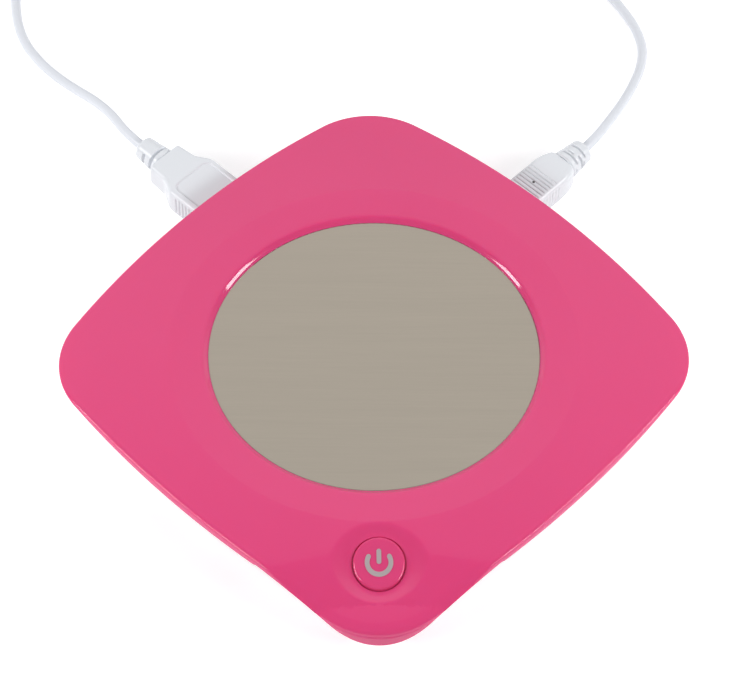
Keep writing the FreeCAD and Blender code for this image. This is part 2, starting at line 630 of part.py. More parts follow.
def make_cover():
    """The glossy cover: a crowned shell with its rim, sloped corner, recess, posts and button hole."""
    blank = shared("cover_blank", prism("cover_plan", "-5", HIGH, square_plan("0")),
                   under_top("cover_top", "0"), above_edge("cover_edge", "0"))
    hollow = shared("cover_hollow", prism("hollow_plan", "-5", HIGH, square_plan(HOLLOW_INSET)),
                    under_top("hollow_top", "cover_wall"))
    shell = less("cover_shell", blank, hollow)

    rib = shared("rib", prism("rib_plan", "-5", HIGH, square_plan(RIB_INSET), square_plan(HOLLOW_INSET)),
                 above_edge("rib_edge", "rib_depth"))
    ring = cylinder("ring", RING_OUTER, STACK_UNDER, HIGH)
    pan = shared("pan", cylinder("pan_round", "pan_radius", "0", HIGH, SEAT_X, SEAT_X),
                 seat_slab("pan_slab", "pan_wall", HIGH))
    collar = cylinder("collar", "hole_radius + collar_wall", "collar_bottom", HIGH, SEAT_X, SEAT_X)
    posts = []
    for index in range(4):
        x, y = round_place(POST_REACH, "45 + 90 * %d" % index)
        posts.append(cylinder("cover_post_%d" % index, "post_radius", "post_split", HIGH, x, y))
    for index in range(3):
        x, y = round_place(EAR_REACH, "ear_angle + 120 * %d" % index)
        posts.append(cylinder("ear_post_%d" % index, "ear_radius", STACK_UNDER, HIGH, x, y))
    inside = shared("cover_inside", joined("inside_parts", rib, ring, pan, collar, *posts),
                    under_top("inside_top", "cover_wall / 2"),
                    prism("inside_plan", "-5", HIGH, square_plan(RIB_INSET)))
    whole = joined("cover_whole", shell, inside)

    recess = turned("recess", [
        ("0", "plate_top - recess_foot"),
        (PLATE_BORE, "plate_top - recess_foot"),
        (LIP_RADIUS, "plate_top + lip_lift", "-recess_bend"),
        (RECESS_RADIUS, RECESS_TOP), (RECESS_RADIUS, HIGH), ("0", HIGH)])
    bore = cylinder("plate_bore", PLATE_BORE, LEDGE_TOP, HIGH)
    window = cylinder("stack_bore", BORE_RADIUS, "0", HIGH)
    dish = doc.addObject("Part::Cone", "button_dish")
    tie(dish, Radius1="hole_radius + 0.2", Radius2="hole_radius + 0.2 + dish_height / tan(dish_angle)",
        Height="dish_height", Placement__Base__x=SEAT_X, Placement__Base__y=SEAT_X,
        Placement__Base__z=SEAT_HEIGHT)
    dish.Placement = Placement(dish.Placement.Base, Rotation(Vector(1, -1, 0), size("seat_slope")))
    hole = cylinder("button_hole", "hole_radius", "0", HIGH, SEAT_X, SEAT_X)
    pilots = []
    for index in range(4):
        x, y = round_place(POST_REACH, "45 + 90 * %d" % index)
        pilots.append(cylinder("pilot_%d" % index, "screw_radius + pilot_gap", "0", "screw_top + 0.3", x, y))
    for index in range(3):
        x, y = round_place(EAR_REACH, "ear_angle + 120 * %d" % index)
        top = "%s + clamp_screw_length + 0.3" % CLAMP_UNDER
        pilots.append(cylinder("ear_pilot_%d" % index, "small_screw + pilot_gap", "0", top, x, y))
    cuts = joined("cover_cuts", recess, bore, window, dish, hole, *pilots)
    keep(less("top_cover", whole, cuts), "top_cover")


def make_base():
    """The tray: floor, wall, posts, screw seats, foot seats and socket windows."""
    wall = less("base_wall_ring", prism("base_plan", "foot_stand", HIGH, square_plan("base_inset")),
                prism("base_room", FLOOR_TOP, HIGH, square_plan(INNER_INSET)))
    tall = less("base_tall", wall, above_edge("base_edge", "seam_gap"))
    posts, cuts = [], []
    for index in range(4):
        x, y = round_place(POST_REACH, "45 + 90 * %d" % index)
        posts.append(cylinder("base_post_%d" % index, "post_radius", "foot_stand", "post_split", x, y))
        cuts.append(cylinder("base_bore_%d" % index, "screw_radius + screw_clear", "0", HIGH, x, y))
        cuts.append(cylinder("base_seat_%d" % index, "screw_head + screw_clear", "0", "screw_seat", x, y))
        x, y = round_place(FOOT_REACH, "45 + 90 * %d" % index)
        cuts.append(cylinder("foot_seat_%d" % index, "foot_radius + foot_gap", "0",
                             "foot_stand + foot_recess", x, y))
        x, y = round_place(BOARD_POST_REACH, "90 * %d" % index)
        posts.append(cylinder("board_post_%d" % index, "board_post_radius", "foot_stand", BOARD_UNDER, x, y))
        low = "%s - board_screw_length - 0.1" % BOARD_TOP
        cuts.append(cylinder("board_pilot_%d" % index, "small_screw + pilot_gap", low, HIGH, x, y))
    for index, (across, azimuth) in enumerate(LARGE_SOCKETS):
        cuts.append(window("window_%d" % (index + 1), across, A_CENTRE, azimuth, "a_lip_width", "a_lip_height"))
    cuts.append(window("mini_window", MINI_ACROSS, MINI_CENTRE, 0, "mini_width", "mini_height"))
    solid = joined("base_solid", tall, *posts)
    keep(less("base_shell", solid, joined("base_cuts", *cuts)), "base_shell")


def window(name, across, height, azimuth, width, tall):
    """A box that cuts a socket's window in the tray wall."""
    cut = doc.addObject("Part::Box", name)
    along, side = round(math.cos(math.radians(azimuth))), round(math.sin(math.radians(azimuth)))
    wide = "(%s + 2 * window_room)" % width
    deep = "(4 * base_wall)"
    tie(cut, Length=deep if along else wide, Width=wide if along else deep,
        Height="%s + 2 * window_room" % tall,
        Placement__Base__x="%d * %s - %d * (%s) - %s / 2" % (
            along, MOUTH, side, across, deep if along else wide),
        Placement__Base__y="%d * %s + %d * (%s) - %s / 2" % (
            side, MOUTH, along, across, wide if along else deep),
        Placement__Base__z="%s - %s / 2 - window_room" % (height, tall))
    return cut


# Each large socket: its place across the side, and the direction it faces in degrees
LARGE_SOCKETS = [("-a_offset", 90), ("a_offset", 90), ("-a_offset", 180), ("a_offset", 180)]
MINI_ACROSS = "mini_offset"


def make_feet():
    """Four rubber feet in their seats."""
    for name, index in (("rear", 0), ("left", 1), ("front", 2), ("right", 3)):
        foot = Piece("foot_" + name)
        foot.pad("0", "foot_stand + foot_recess", ("0", "0", "foot_radius"))
        foot.fillet(lambda edge: level(edge, 0), "foot_round")
        x, y = round_place(FOOT_REACH, "45 + 90 * %d" % index)
        foot.place(Placement(), Placement__Base__x=x, Placement__Base__y=y)


def make_heater():
    """Plate, seal, film, track, pad, clamp plate, thermal cutout and its strap."""
    plate = Piece("heating_plate")
    plate.pad(PLATE_UNDER, "plate_top", ("0", "0", PLATE_RADIUS))
    plate.fillet(lambda edge: level(edge, size("plate_top")), "plate_round")

    seal = Piece("plate_seal")
    seal.pad(LEDGE_TOP, PLATE_UNDER, ("0", "0", SEAL_OUTER), ("0", "0", SEAL_OUTER + " - seal_width"))

    film = Piece("heater_film")
    film.pad(FILM_UNDER, PLATE_UNDER, ("0", "0", STACK_RADIUS))

    opening = box_plan("0", "0", "cutout_length + 2 * cutout_room", "cutout_width + 2 * cutout_room")
    lead_hole = ("lead_x", "lead_y", "lead_radius + cutout_room")
    pad = Piece("insulation_pad")
    pad.pad(STACK_UNDER, TRACK_UNDER, ("0", "0", STACK_RADIUS), opening, lead_hole)

    clamp = Piece("clamp_plate")
    clamp.pad(CLAMP_UNDER, STACK_UNDER, ("0", "0", CLAMP_RADIUS), opening, lead_hole)
    x, y = round_place(EAR_REACH, "ear_angle")
    ear = clamp.pad(CLAMP_UNDER, STACK_UNDER, (x, y, "ear_radius"))
    neck = clamp.pad(CLAMP_UNDER, STACK_UNDER,
                     bar_plan(CLAMP_RADIUS + " - ear_radius", EAR_REACH, "ear_radius", "ear_angle"))
    hole = clamp.pocket(CLAMP_UNDER, STACK_UNDER, (x, y, "small_screw + screw_clear"))
    clamp.polar([ear, neck, hole], 3)

    cutout = Piece("thermal_cutout")
    low = "(%s - cutout_height)" % TRACK_UNDER
    cutout.pad(low, TRACK_UNDER, box_plan("0", "0", "cutout_length", "cutout_width"))
    cutout.pad(low, low + " + pin_thick",
               box_plan("0", "0", "cutout_length + 2 * pin_length", "pin_width"))

    strap = Piece("cutout_strap")
    half = "(cutout_width / 2 + cutout_room + strap_gap)"
    outer = "(%s + strap_thick)" % half
    end = "(%s + strap_foot)" % half
    top = CLAMP_UNDER
    strap.through("YZ_Plane", 0, "strap_width", [
        ("-" + end, top), ("-" + end, top + " - strap_thick"), ("-" + outer, top + " - strap_thick"),
        ("-" + outer, low + " - strap_thick"), (outer, low + " - strap_thick"),
        (outer, top + " - strap_thick"), (end, top + " - strap_thick"), (end, top),
        (half, top), (half, low), ("-" + half, low), ("-" + half, top)], cut=False)


def make_track():
    """The heater track: open rings joined by turns into one run from the middle to the edge."""
    low, thick, width = size(TRACK_UNDER), size("track_thick"), size("track_width")
    pitch, inner = size("track_pitch"), size("track_inner")
    outermost = size(STACK_RADIUS) - size("track_edge") - width / 2
    count = 1 + int((outermost - inner) / pitch)
    gap = width / 2
    run = None
    for ring in range(count):
        radius = inner + pitch * ring
        band = Part.makeCylinder(radius + width / 2, thick).cut(Part.makeCylinder(radius - width / 2, thick))
        band = band.cut(Part.makeBox(radius + width, 2 * gap, thick, Vector(0, -gap, 0)))
        if ring < count - 1:
            side = gap if ring % 2 == 0 else -gap - width
            band = band.fuse(Part.makeBox(pitch, width, thick, Vector(radius, side, 0)))
        run = band if run is None else run.fuse(band)
    track = doc.addObject("Part::Feature", "track")
    track.Shape = run.removeSplitter()
    track.Placement = Placement(Vector(0, 0, low), Rotation(Vector(0, 0, 1), 90))
    keep(track, "heater_track")


def make_screws():
    """Three groups of equal screws."""
    groups = [
        ("housing_screws", "screw_seat", "screw_head", "-screw_head_thick", "screw_radius",
         "screw_top - screw_seat", POST_REACH, "45", 4),
        ("board_screws", BOARD_TOP, "small_head", "small_head_thick", "small_screw",
         "-board_screw_length", BOARD_POST_REACH, "0", 4),
        ("clamp_screws", CLAMP_UNDER, "small_head", "-small_head_thick", "small_screw",
         "clamp_screw_length", EAR_REACH, "ear_angle", 3),
    ]
    for label, seat, head, head_height, shank, length, reach, turn, count in groups:
        screws = []
        for index in range(count):
            x, y = round_place(reach, "%s + 360 / %d * %d" % (turn, count, index))
            name = "%s_%d" % (label, index)
            low_head = "%s + min(0; %s)" % (seat, head_height)
            high_head = "%s + max(0; %s)" % (seat, head_height)
            low_shank = "%s + min(0; %s)" % (seat, length)
            high_shank = "%s + max(0; %s)" % (seat, length)
            screws.append(joined(name, cylinder(name + "_head", head, low_head, high_head, x, y),
                                 cylinder(name + "_shank", shank, low_shank, high_shank, x, y)))
        group = doc.addObject("Part::Compound", label)
        group.Links = screws
        keep(group, label)


def make_board():
    """The circuit board and what is soldered on it, apart from sockets and switch."""
    board = Piece("circuit_board")
    holes = [round_place(POST_REACH, "45 + 90 * %d" % i) + ("post_radius + post_room",) for i in range(4)]
    holes += [round_place(BOARD_POST_REACH, "90 * %d" % i) + ("small_screw + screw_clear",) for i in range(4)]
    board.pad(BOARD_UNDER, BOARD_TOP, square_plan("board_inset"), *holes)

    chip = Piece("hub_chip")
    chip.pad(BOARD_TOP, BOARD_TOP + " + chip_height", box_plan("chip_x", "chip_y", "chip_length", "chip_width"))

    crystal = Piece("clock_crystal")
    crystal.pad(BOARD_TOP, BOARD_TOP + " + crystal_height",
                box_plan("crystal_x", "crystal_y", "crystal_length", "crystal_width", "crystal_width / 2.001"))

    cans = doc.addObject("Part::Compound", "capacitors")
    cans.Links = [cylinder("can_%d" % i, "can_radius", BOARD_TOP, BOARD_TOP + " + can_height", x, y)
                  for i, (x, y) in enumerate((("near_can_x", "near_can_y"), ("side_can_x", "side_can_y"),
                                              ("far_can_x", "far_can_y")))]
    keep(cans, "capacitors")


def make_large_socket(number, across, azimuth):
    """One large socket: a folded shell with a flange, and the tongue inside it."""
    shell = Piece("socket_shell_%d" % number)
    room = box_plan("0", "0", "a_width - 2 * sheet_metal", "a_height - 2 * sheet_metal")
    shell.pad("-a_depth", "0", box_plan("0", "0", "a_width", "a_height"))
    shell.pad("-lip_thick", "0", box_plan("0", "0", "a_lip_width", "a_lip_height"))
    shell.pocket("-a_depth + sheet_metal", "0", room)
    legs = "(a_lift - a_height / 2)"
    leg = shell.sketch("XZ_Plane", lift="a_height / 2 - sheet_metal")
    outline(leg, box_plan("-a_width / 2 + leg_inset", "-a_depth / 2", "leg_thick", "leg_width"))
    outline(leg, box_plan("a_width / 2 - leg_inset", "-a_depth / 2", "leg_thick", "leg_width"))
    shell.feature("Pad", leg, Length=legs + " + sheet_metal")
    placement, ties = facing_out(across, A_CENTRE, azimuth)
    shell.place(placement, **ties)

    tongue = Piece("socket_tongue_%d" % number)
    back = "(-a_depth + sheet_metal)"
    root = "(%s + tongue_root)" % back
    tongue.pad(back, root, box_plan("0", "0", "a_width - 2 * sheet_metal", "a_height - 2 * sheet_metal"))
    middle = "(tongue_gap + a_tongue_thick / 2)"
    tongue.pad(root, root + " + a_tongue_length", box_plan("0", middle, "a_tongue_width", "a_tongue_thick"))
    tongue.place(placement, **ties)


def make_mini_socket():
    """The small socket."""
    shell = Piece("mini_socket_shell")
    shell.pad("-mini_depth", "0", box_plan("0", "0", "mini_width", "mini_height"))
    shell.pocket("-mini_depth + sheet_metal", "0",
                 box_plan("0", "0", "mini_width - 2 * sheet_metal", "mini_height - 2 * sheet_metal"))
    placement, ties = facing_out(MINI_ACROSS, MINI_CENTRE, 0)
    shell.place(placement, **ties)

    tongue = Piece("mini_socket_tongue")
    back = "(-mini_depth + sheet_metal)"
    root = "(%s + tongue_root / 2)" % back
    tongue.pad(back, root, box_plan("0", "0", "mini_width - 2 * sheet_metal", "mini_height - 2 * sheet_metal"))
    tongue.pad(root, root + " + mini_tongue_length",
               box_plan("0", "0", "mini_tongue_width", "mini_tongue_thick"))
    tongue.place(placement, **ties)


def loft(piece, sections):
    """Material lofted through rounded rectangles (height, width, depth, rounding)."""
    drawings = []
    for height, width, depth, rounding in sections:
        drawing = piece.sketch(lift=height)
        outline(drawing, box_plan("0", "0", width, depth, rounding))
        drawings.append(drawing)
    made = piece.body.newObject("PartDesign::AdditiveLoft", "Loft")
    made.Profile = drawings[0]
    made.Sections = drawings[1:]
    made.Ruled = True
    return made


def relief(piece, neck_end, relief_end, root, tip, grooves):
    """The strain relief: a tapered round boot with grooves, and a rounded end."""
    piece.spin([("0", neck_end), (root, neck_end), (tip, relief_end + " - relief_round"),
                (tip + " - relief_round", relief_end), ("0", relief_end)])
    for index in range(grooves):
        low = "(%s + relief_inset + relief_pitch * %d)" % (neck_end, index)
        inner = "(%s - groove_depth)" % tip
        piece.spin([(inner, low), (root + " + 1", low), (root + " + 1", low + " + groove_width"),
                    (inner, low + " + groove_width")], cut=True)


def make_a_plug():
    """The large plug in its socket."""
    across, azimuth = LARGE_SOCKETS[0]
    placement, ties = facing_out(across, A_CENTRE, azimuth)

    body = Piece("a_plug_body")
    loft(body, [("grip_gap", "a_grip_width", "a_grip_height", "grip_round"),
                ("a_grip_end", "a_grip_width", "a_grip_height", "grip_round"),
                ("a_neck_end", "a_neck_width", "a_neck_height", "grip_round")])
    relief(body, "a_neck_end", "a_relief_end", "a_relief_radius", "a_relief_tip", 3)
    body.place(placement, **ties)

    shell = Piece("a_plug_shell")
    shell.pad("-a_plug_depth", "grip_gap", box_plan("0", "0", "a_plug_width", "a_plug_height"),
              box_plan("0", "0", "a_plug_width - 2 * sheet_metal", "a_plug_height - 2 * sheet_metal"))
    shell.place(placement, **ties)

    tongue = Piece("a_plug_tongue")
    thick = "(a_plug_height / 2 - sheet_metal - tongue_gap / 2)"
    tongue.pad("-a_plug_depth + sheet_metal", "grip_gap",
               box_plan("0", "-(%s + tongue_gap) / 2" % thick, "a_plug_width - 2 * sheet_metal", thick))
    tongue.place(placement, **ties)


def make_mini_plug():
    """The small plug in its socket."""
    placement, ties = facing_out(MINI_ACROSS, MINI_CENTRE, 0)

    body = Piece("mini_plug_body")
    loft(body, [("grip_gap", "mini_grip_width", "mini_grip_height", "grip_round"),
                ("mini_grip_end", "mini_grip_width", "mini_grip_height", "grip_round"),
                ("mini_neck_end", "mini_neck_width", "mini_neck_height", "grip_round")])
    relief(body, "mini_neck_end", "mini_relief_end", "mini_relief_radius", "mini_relief_tip", 3)
    for index in range(int(size("groove_count"))):
        low = "(mini_grip_end - groove_inset - groove_pitch * %d)" % index
        body.pocket(low, low + " + groove_width",
                    box_plan("0", "0", "mini_grip_width + 2", "mini_grip_height + 2"),
                    box_plan("0", "0", "mini_grip_width - groove_depth",
                             "mini_grip_height - groove_depth", "grip_round"))
    body.place(placement, **ties)

    shell = Piece("mini_plug_shell")
    shell.pad("-mini_plug_depth", "grip_gap", box_plan("0", "0", "mini_plug_width", "mini_plug_height"),
              box_plan("0", "0", "mini_plug_width - 2 * sheet_metal", "mini_plug_height - 2 * sheet_metal"))
    shell.place(placement, **ties)

    insert = Piece("mini_plug_insert")
    room = box_plan("0", "0", "mini_tongue_width + 4 * tongue_gap", "mini_tongue_thick + 4 * tongue_gap")
    insert.pad("-mini_plug_depth + sheet_metal", "grip_gap",
               box_plan("0", "0", "mini_plug_width - 2 * sheet_metal", "mini_plug_height - 2 * sheet_metal"))
    insert.pocket("-mini_plug_depth - 1", "0", room)
    insert.place(placement, **ties)


def make_button():
    """The button cap, its printed symbol, the push switch and its plunger, on one upright axis."""
    cap = Piece("power_button")
    cap.pad("%s - flange_thick" % FLANGE_TOP, "plate_top + 3", ("0", "0", CAP_RADIUS))
    face = "(%s + button_proud)" % SEAT_HEIGHT
    far = "(2 * hole_radius)"
    lean = far + " * tan(seat_slope)"
    cap.through("XZ_Plane", 45, "4 * hole_radius", [
        ("-" + far, "%s - %s" % (face, lean)), (far, "%s + %s" % (face, lean)),
        (far, HIGH), ("-" + far, HIGH)])
    cap.fillet(lambda edge: edge.BoundBox.ZMin > size("collar_bottom") and
               edge.BoundBox.ZLength > 1 and edge.Length > 4 * size(CAP_RADIUS), "button_round")
    cap.pad("%s - flange_thick" % FLANGE_TOP, FLANGE_TOP, ("0", "0", "flange_radius"))
    cap.pocket("%s - flange_thick" % FLANGE_TOP, BUTTON_CEILING, ("0", "0", CAP_RADIUS + " - button_wall"))
    cap.place(Placement(), Placement__Base__x=SEAT_X, Placement__Base__y=SEAT_X)

    switch = Piece("switch_housing")
    switch.pad(BOARD_TOP, SWITCH_TOP, box_plan("0", "0", "switch_side", "switch_side"))
    switch.pocket("%s - plunger_inside - button_travel - 0.1" % SWITCH_TOP, SWITCH_TOP,
                  ("0", "0", "plunger_radius + plunger_gap"))
    switch.place(Placement(), Placement__Base__x=SEAT_X, Placement__Base__y=SEAT_X)

    plunger = Piece("switch_plunger")
    plunger.pad("%s - plunger_inside" % SWITCH_TOP, BUTTON_CEILING, ("0", "0", "plunger_radius"))
    plunger.place(Placement(), Placement__Base__x=SEAT_X, Placement__Base__y=SEAT_X)


def make_symbol():
    """The printed power symbol: an open ring and a bar with round ends, on the button's sloped face."""
    ring, half = size("mark_ring"), size("mark_stroke") / 2
    opening = size("mark_opening")
    depth = 4 * ring
    band = Part.makeCylinder(ring + half, depth).cut(Part.makeCylinder(ring - half, depth))
    wedge = Part.makeCylinder(2 * ring, depth, Vector(0, 0, 0), Vector(0, 0, 1), 2 * opening)
    wedge.rotate(Vector(0, 0, 0), Vector(0, 0, 1), 90 - opening)
    mark = band.cut(wedge)
    for way in (-1, 1):
        turn = math.radians(90 + way * opening)
        end = Vector(ring * math.cos(turn), ring * math.sin(turn), 0)
        mark = mark.fuse(Part.makeCylinder(half, depth, end))
    low, high = size("-mark_bar_bottom") + half, size("mark_bar_top") - half
    mark = mark.fuse(Part.makeBox(2 * half, high - low, depth, Vector(-half, low, 0)))
    for end in (low, high):
        mark = mark.fuse(Part.makeCylinder(half, depth, Vector(0, end, 0)))
    mark.rotate(Vector(0, 0, 0), Vector(0, 0, 1), -45)
    mark.translate(Vector(size(SEAT_X), size(SEAT_X), size(SEAT_HEIGHT) - depth / 2))
    lift = size("button_proud")
    slope = math.radians(size("seat_slope"))
    side = 4 * ring
    slab = Part.makeBox(side, side, size("mark_thick"), Vector(-side / 2, -side / 2, lift * math.cos(slope)))
    slab.rotate(Vector(0, 0, 0), Vector(1, -1, 0), math.degrees(slope))
    slab.translate(Vector(size(SEAT_X), size(SEAT_X), size(SEAT_HEIGHT)))
    symbol = doc.addObject("Part::Feature", "symbol")
    symbol.Shape = mark.common(slab).removeSplitter()
    symbol.Placement = Placement()
    keep(symbol, "power_symbol")


def make_leads():
    """Two heater leads: one from the board to the cutout, one straight up to the track."""
    radius, bend = size("lead_radius"), size("lead_bend")
    board = size(BOARD_TOP)
    pin = size(TRACK_UNDER) - size("cutout_height") + size("pin_thick") / 2
    end = size("cutout_length") / 2 + size("pin_length")
    start = end + bend + size("lead_run")
    points = [Vector(start, 0, board), Vector(start, 0, pin - bend),
              Vector(start - bend, 0, pin), Vector(end, 0, pin)]
    middle = Vector(start - bend + bend * math.cos(math.pi / 4), 0, pin - bend + bend * math.sin(math.pi / 4))
    path = Part.Wire([Part.LineSegment(points[0], points[1]).toShape(),
                      Part.Arc(points[1], middle, points[2]).toShape(),
                      Part.LineSegment(points[2], points[3]).toShape()])
    bent = tube(path, radius)
    straight = Part.makeCylinder(radius, size(TRACK_UNDER) - board,
                                 Vector(size("lead_x"), size("lead_y"), board))
    leads = doc.addObject("Part::Feature", "leads")
    leads.Shape = Part.makeCompound([bent, straight])
    leads.Placement = Placement()
    keep(leads, "heater_leads")


def tube(path, radius):
    """A round solid along a wire."""
    first = path.OrderedEdges[0] if hasattr(path, "OrderedEdges") else path.Edges[0]
    start = first.valueAt(first.FirstParameter)
    direction = first.tangentAt(first.FirstParameter)
    ring = Part.Wire([Part.Circle(start, direction, radius).toShape()])
    return path.makePipeShell([ring], True, False)


def bent_route(points):
    """Straight runs joined by tangent arcs as large as the runs allow, and the arcs' radii."""
    edges, radii = [], []
    place = points[0]
    for before, corner, after in zip(points, points[1:], points[2:]):
        into, out = corner - before, after - corner
        turn = into.getAngle(out)
        shorter = min(into.Length, out.Length)
        radius = 0.45 * shorter / math.tan(turn / 2)
        radii.append(radius)
        into.normalize()
        out.normalize()
        cut = 0.45 * shorter
        start, end = corner - into * cut, corner + out * cut
        inward = (out - into).normalize()
        centre = corner + inward * (radius / math.cos(turn / 2))
        edges.append(Part.LineSegment(place, start).toShape())
        edges.append(Part.Arc(start, centre - inward * radius, end).toShape())
        place = end
    edges.append(Part.LineSegment(place, points[-1]).toShape())
    return Part.Wire(edges), radii


def add_tube(label, path, radius):
    """A tube as a node, with its volume compared with section times length."""
    shape = tube(path, radius)
    ratio = shape.Volume / (math.pi * radius * radius * path.Length)
    print("%s: length %.1f, volume over section times length %.4f" % (label, path.Length, ratio))
    node = doc.addObject("Part::Feature", label + "_solid")
    node.Shape = shape
    node.Placement = Placement()
    keep(node, label)
    return path.Length


# Routes of the cord from each plug. Heights are of the cord's middle.
FLOOR = 1.35
LAST_RUN = 8.0
LEFT_ROUTE = [
    (10.8, 93.55, 8.7), (10.8, 100.0, 8.7), (12.8, 107.5, 8.2), (12.9, 115.0, 6.3), (12.0, 122.5, 4.0),
    (12.6, 130.0, 2.2), (14.9, 138.0, FLOOR), (17.2, 146.0, FLOOR), (22.0, 154.0, FLOOR),
    (29.0, 161.5, FLOOR), (38.0, 165.5, 1.6), (47.5, 164.5, 2.0), (56.0, 158.5, 2.2), (63.5, 151.0, 2.2),
]
RIGHT_ROUTE = [
    (90.35, 11.6, 7.175), (96.5, 11.6, 7.175), (103.0, 14.8, 6.2), (110.0, 17.6, 4.4), (117.0, 20.0, 2.8),
    (124.0, 22.4, 1.7), (129.8, 26.0, FLOOR), (134.0, 31.5, FLOOR), (136.6, 38.5, FLOOR),
    (138.6, 47.0, FLOOR), (139.0, 57.0, FLOOR), (136.5, 67.5, FLOOR), (131.0, 78.0, FLOOR),
    (123.5, 88.0, FLOOR), (113.5, 97.5, FLOOR), (104.0, 107.5, FLOOR), (95.5, 118.0, 2.2),
    (87.0, 127.5, 4.0),
]


def coil_stations():
    """Places and directions along the coil every quarter turn, from the left run to the right run."""
    first, last = Vector(*LEFT_ROUTE[-2]), Vector(*LEFT_ROUTE[-1])
    ahead = (last - first).normalize()
    left = Vector(-ahead.y, ahead.x, 0)
    cord = 2 * size("cord_radius")
    pitch = cord + size("coil_gap")
    loops = int(size("coil_loops"))
    inner = size("coil_inner")
    outer = inner + pitch * loops
    start = last + ahead * cord
    centre = start + left * outer
    quarters = 4 * loops
    low, high = start.z, start.z + pitch
    stations = []
    for index in range(2 * quarters + 1):
        turn = math.pi / 2 * index
        if index <= quarters + 1:
            radius = outer - pitch * index / 4
            drift = -pitch
        else:
            radius = inner + pitch * (index - quarters - 2) / 4
            drift = pitch
        if index in (0, 2 * quarters, quarters + 1):
            drift = 0
        height, climb = (low if index <= quarters else high), 0
        if index == quarters + 1:
            height = (low + high) / 2
            climb = 1.5 * (high - low) / (math.pi * inner)
        across, along = -math.cos(turn), math.sin(turn)
        place = centre + left * (radius * across) + ahead * (radius * along)
        place.z = height
        heading = left * math.sin(turn) + ahead * math.cos(turn)
        outward = left * across + ahead * along
        heading = heading + outward * (drift / (2 * math.pi * radius)) + Vector(0, 0, climb)
        stations.append((place, heading.normalize()))
    return centre, ahead, left, stations


def biarc(start, leave, end, arrive):
    """Two arcs, tangent to each other, from start to end with the given directions."""
    across = end - start
    both = leave + arrive
    spread = 2 * (1 - leave.dot(arrive))
    reach = -across.dot(both) + math.sqrt(across.dot(both) ** 2 + spread * across.dot(across))
    reach = reach / spread
    middle = (start + end + (leave - arrive) * reach) * 0.5
    edges, radii = [], []
    for place, heading, far in ((start, leave, middle), (end, arrive * -1, middle)):
        chord = far - place
        normal = heading.cross(chord).cross(heading).normalize()
        radius = chord.dot(chord) / (2 * chord.dot(normal))
        centre = place + normal * radius
        halfway = centre + ((place + far) * 0.5 - centre).normalize() * radius
        radii.append(radius)
        edges.append((place, halfway, far))
    first, second = edges
    return [Part.Arc(*first).toShape(), Part.Arc(second[2], second[1], second[0]).toShape()], radii


def make_coil():
    """The put-away length of the cord: two layers of loops, and the tie round them."""
    radius = size("cord_radius")
    centre, ahead, left, stations = coil_stations()
    straight = 2 * radius
    entry = stations[0][0] - ahead * straight
    leaving = stations[-1][0] + ahead * straight
    edges, radii = [Part.LineSegment(entry, stations[0][0]).toShape()], []
    for before, after in zip(stations, stations[1:]):
        arcs, bends = biarc(before[0], before[1], after[0], after[1])
        edges += arcs
        radii += bends
    edges.append(Part.LineSegment(stations[-1][0], leaving).toShape())
    path = Part.Wire(edges)
    print("cord_coil bend radii from %.1f to %.1f" % (min(radii), max(radii)))
    print("cord_coil least gap between loops %.2f" % least_gap(edges, radius))
    add_tube("cord_coil", path, radius)

    tie_place = stations[2][0]
    room, thick = size("tie_room"), size("tie_thick")
    inside = size("coil_inner") - radius - 3 * room
    outside = (Vector(tie_place.x, tie_place.y, 0) - Vector(centre.x, centre.y, 0)).Length + radius + 2 * room
    low = stations[0][0].z - radius - room
    high = stations[-1][0].z + radius + room
    width = size("tie_width")
    block = Part.makeBox(outside - inside + 2 * thick, width, high - low + 2 * thick,
                         Vector(inside - thick, -width / 2, low - thick))
    room_box = Part.makeBox(outside - inside, width, high - low, Vector(inside, -width / 2, low))
    ring = block.cut(room_box)
    band = [edge for edge in ring.Edges if edge.Length > width - 0.01 and edge.Length < width + 0.01]
    outer = [edge for edge in band if abs(edge.valueAt(0).z - low) > thick / 2
             and abs(edge.valueAt(0).z - high) > thick / 2]
    ring = ring.makeFillet(1.0, outer)
    strap = doc.addObject("Part::Feature", "tie")
    strap.Shape = ring
    heading = math.degrees(math.atan2(left.y, left.x))
    strap.Placement = Placement(Vector(centre.x, centre.y, 0), Rotation(Vector(0, 0, 1), heading))
    keep(strap, "cord_tie")
    return leaving, ahead


def least_gap(edges, radius):
    """The least gap between parts of the tube that are more than a few diameters apart along it."""
    points, along, run = [], [], 0.0
    for edge in edges:
        count = max(2, int(edge.Length / 0.8))
        for index in range(count):
            where = edge.FirstParameter + (edge.LastParameter - edge.FirstParameter) * index / count
            points.append(edge.valueAt(where))
            along.append(run + edge.Length * index / count)
        run += edge.Length
    least = 1e9
    for i, place in enumerate(points):
        for j in range(i + 1, len(points)):
            if along[j] - along[i] > 12 * radius:
                least = min(least, (points[j] - place).Length)
    return least - 2 * radius


def make_cords():
    """The cord's coil and its two free runs."""
    leaving, ahead = make_coil()
    right = [Vector(*point) for point in RIGHT_ROUTE] + [leaving + ahead * LAST_RUN, leaving]
    print("right run ends at", leaving, "after", leaving + ahead * LAST_RUN)
    for label, route in (("cord_left", [Vector(*point) for point in LEFT_ROUTE]), ("cord_right", right)):
        path, radii = bent_route(route)
        print(label, "bend radii:", " ".join("%.0f" % r for r in radii))
        add_tube(label, path, size("cord_radius"))


make_cover()
make_base()
make_feet()
make_heater()
make_track()
make_screws()
make_board()
for place, (across_side, facing) in enumerate(LARGE_SOCKETS, start=1):
    make_large_socket(place, across_side, facing)
make_mini_socket()
make_a_plug()
make_mini_plug()
make_button()
make_symbol()
make_leads()
make_cords()
doc.recompute()

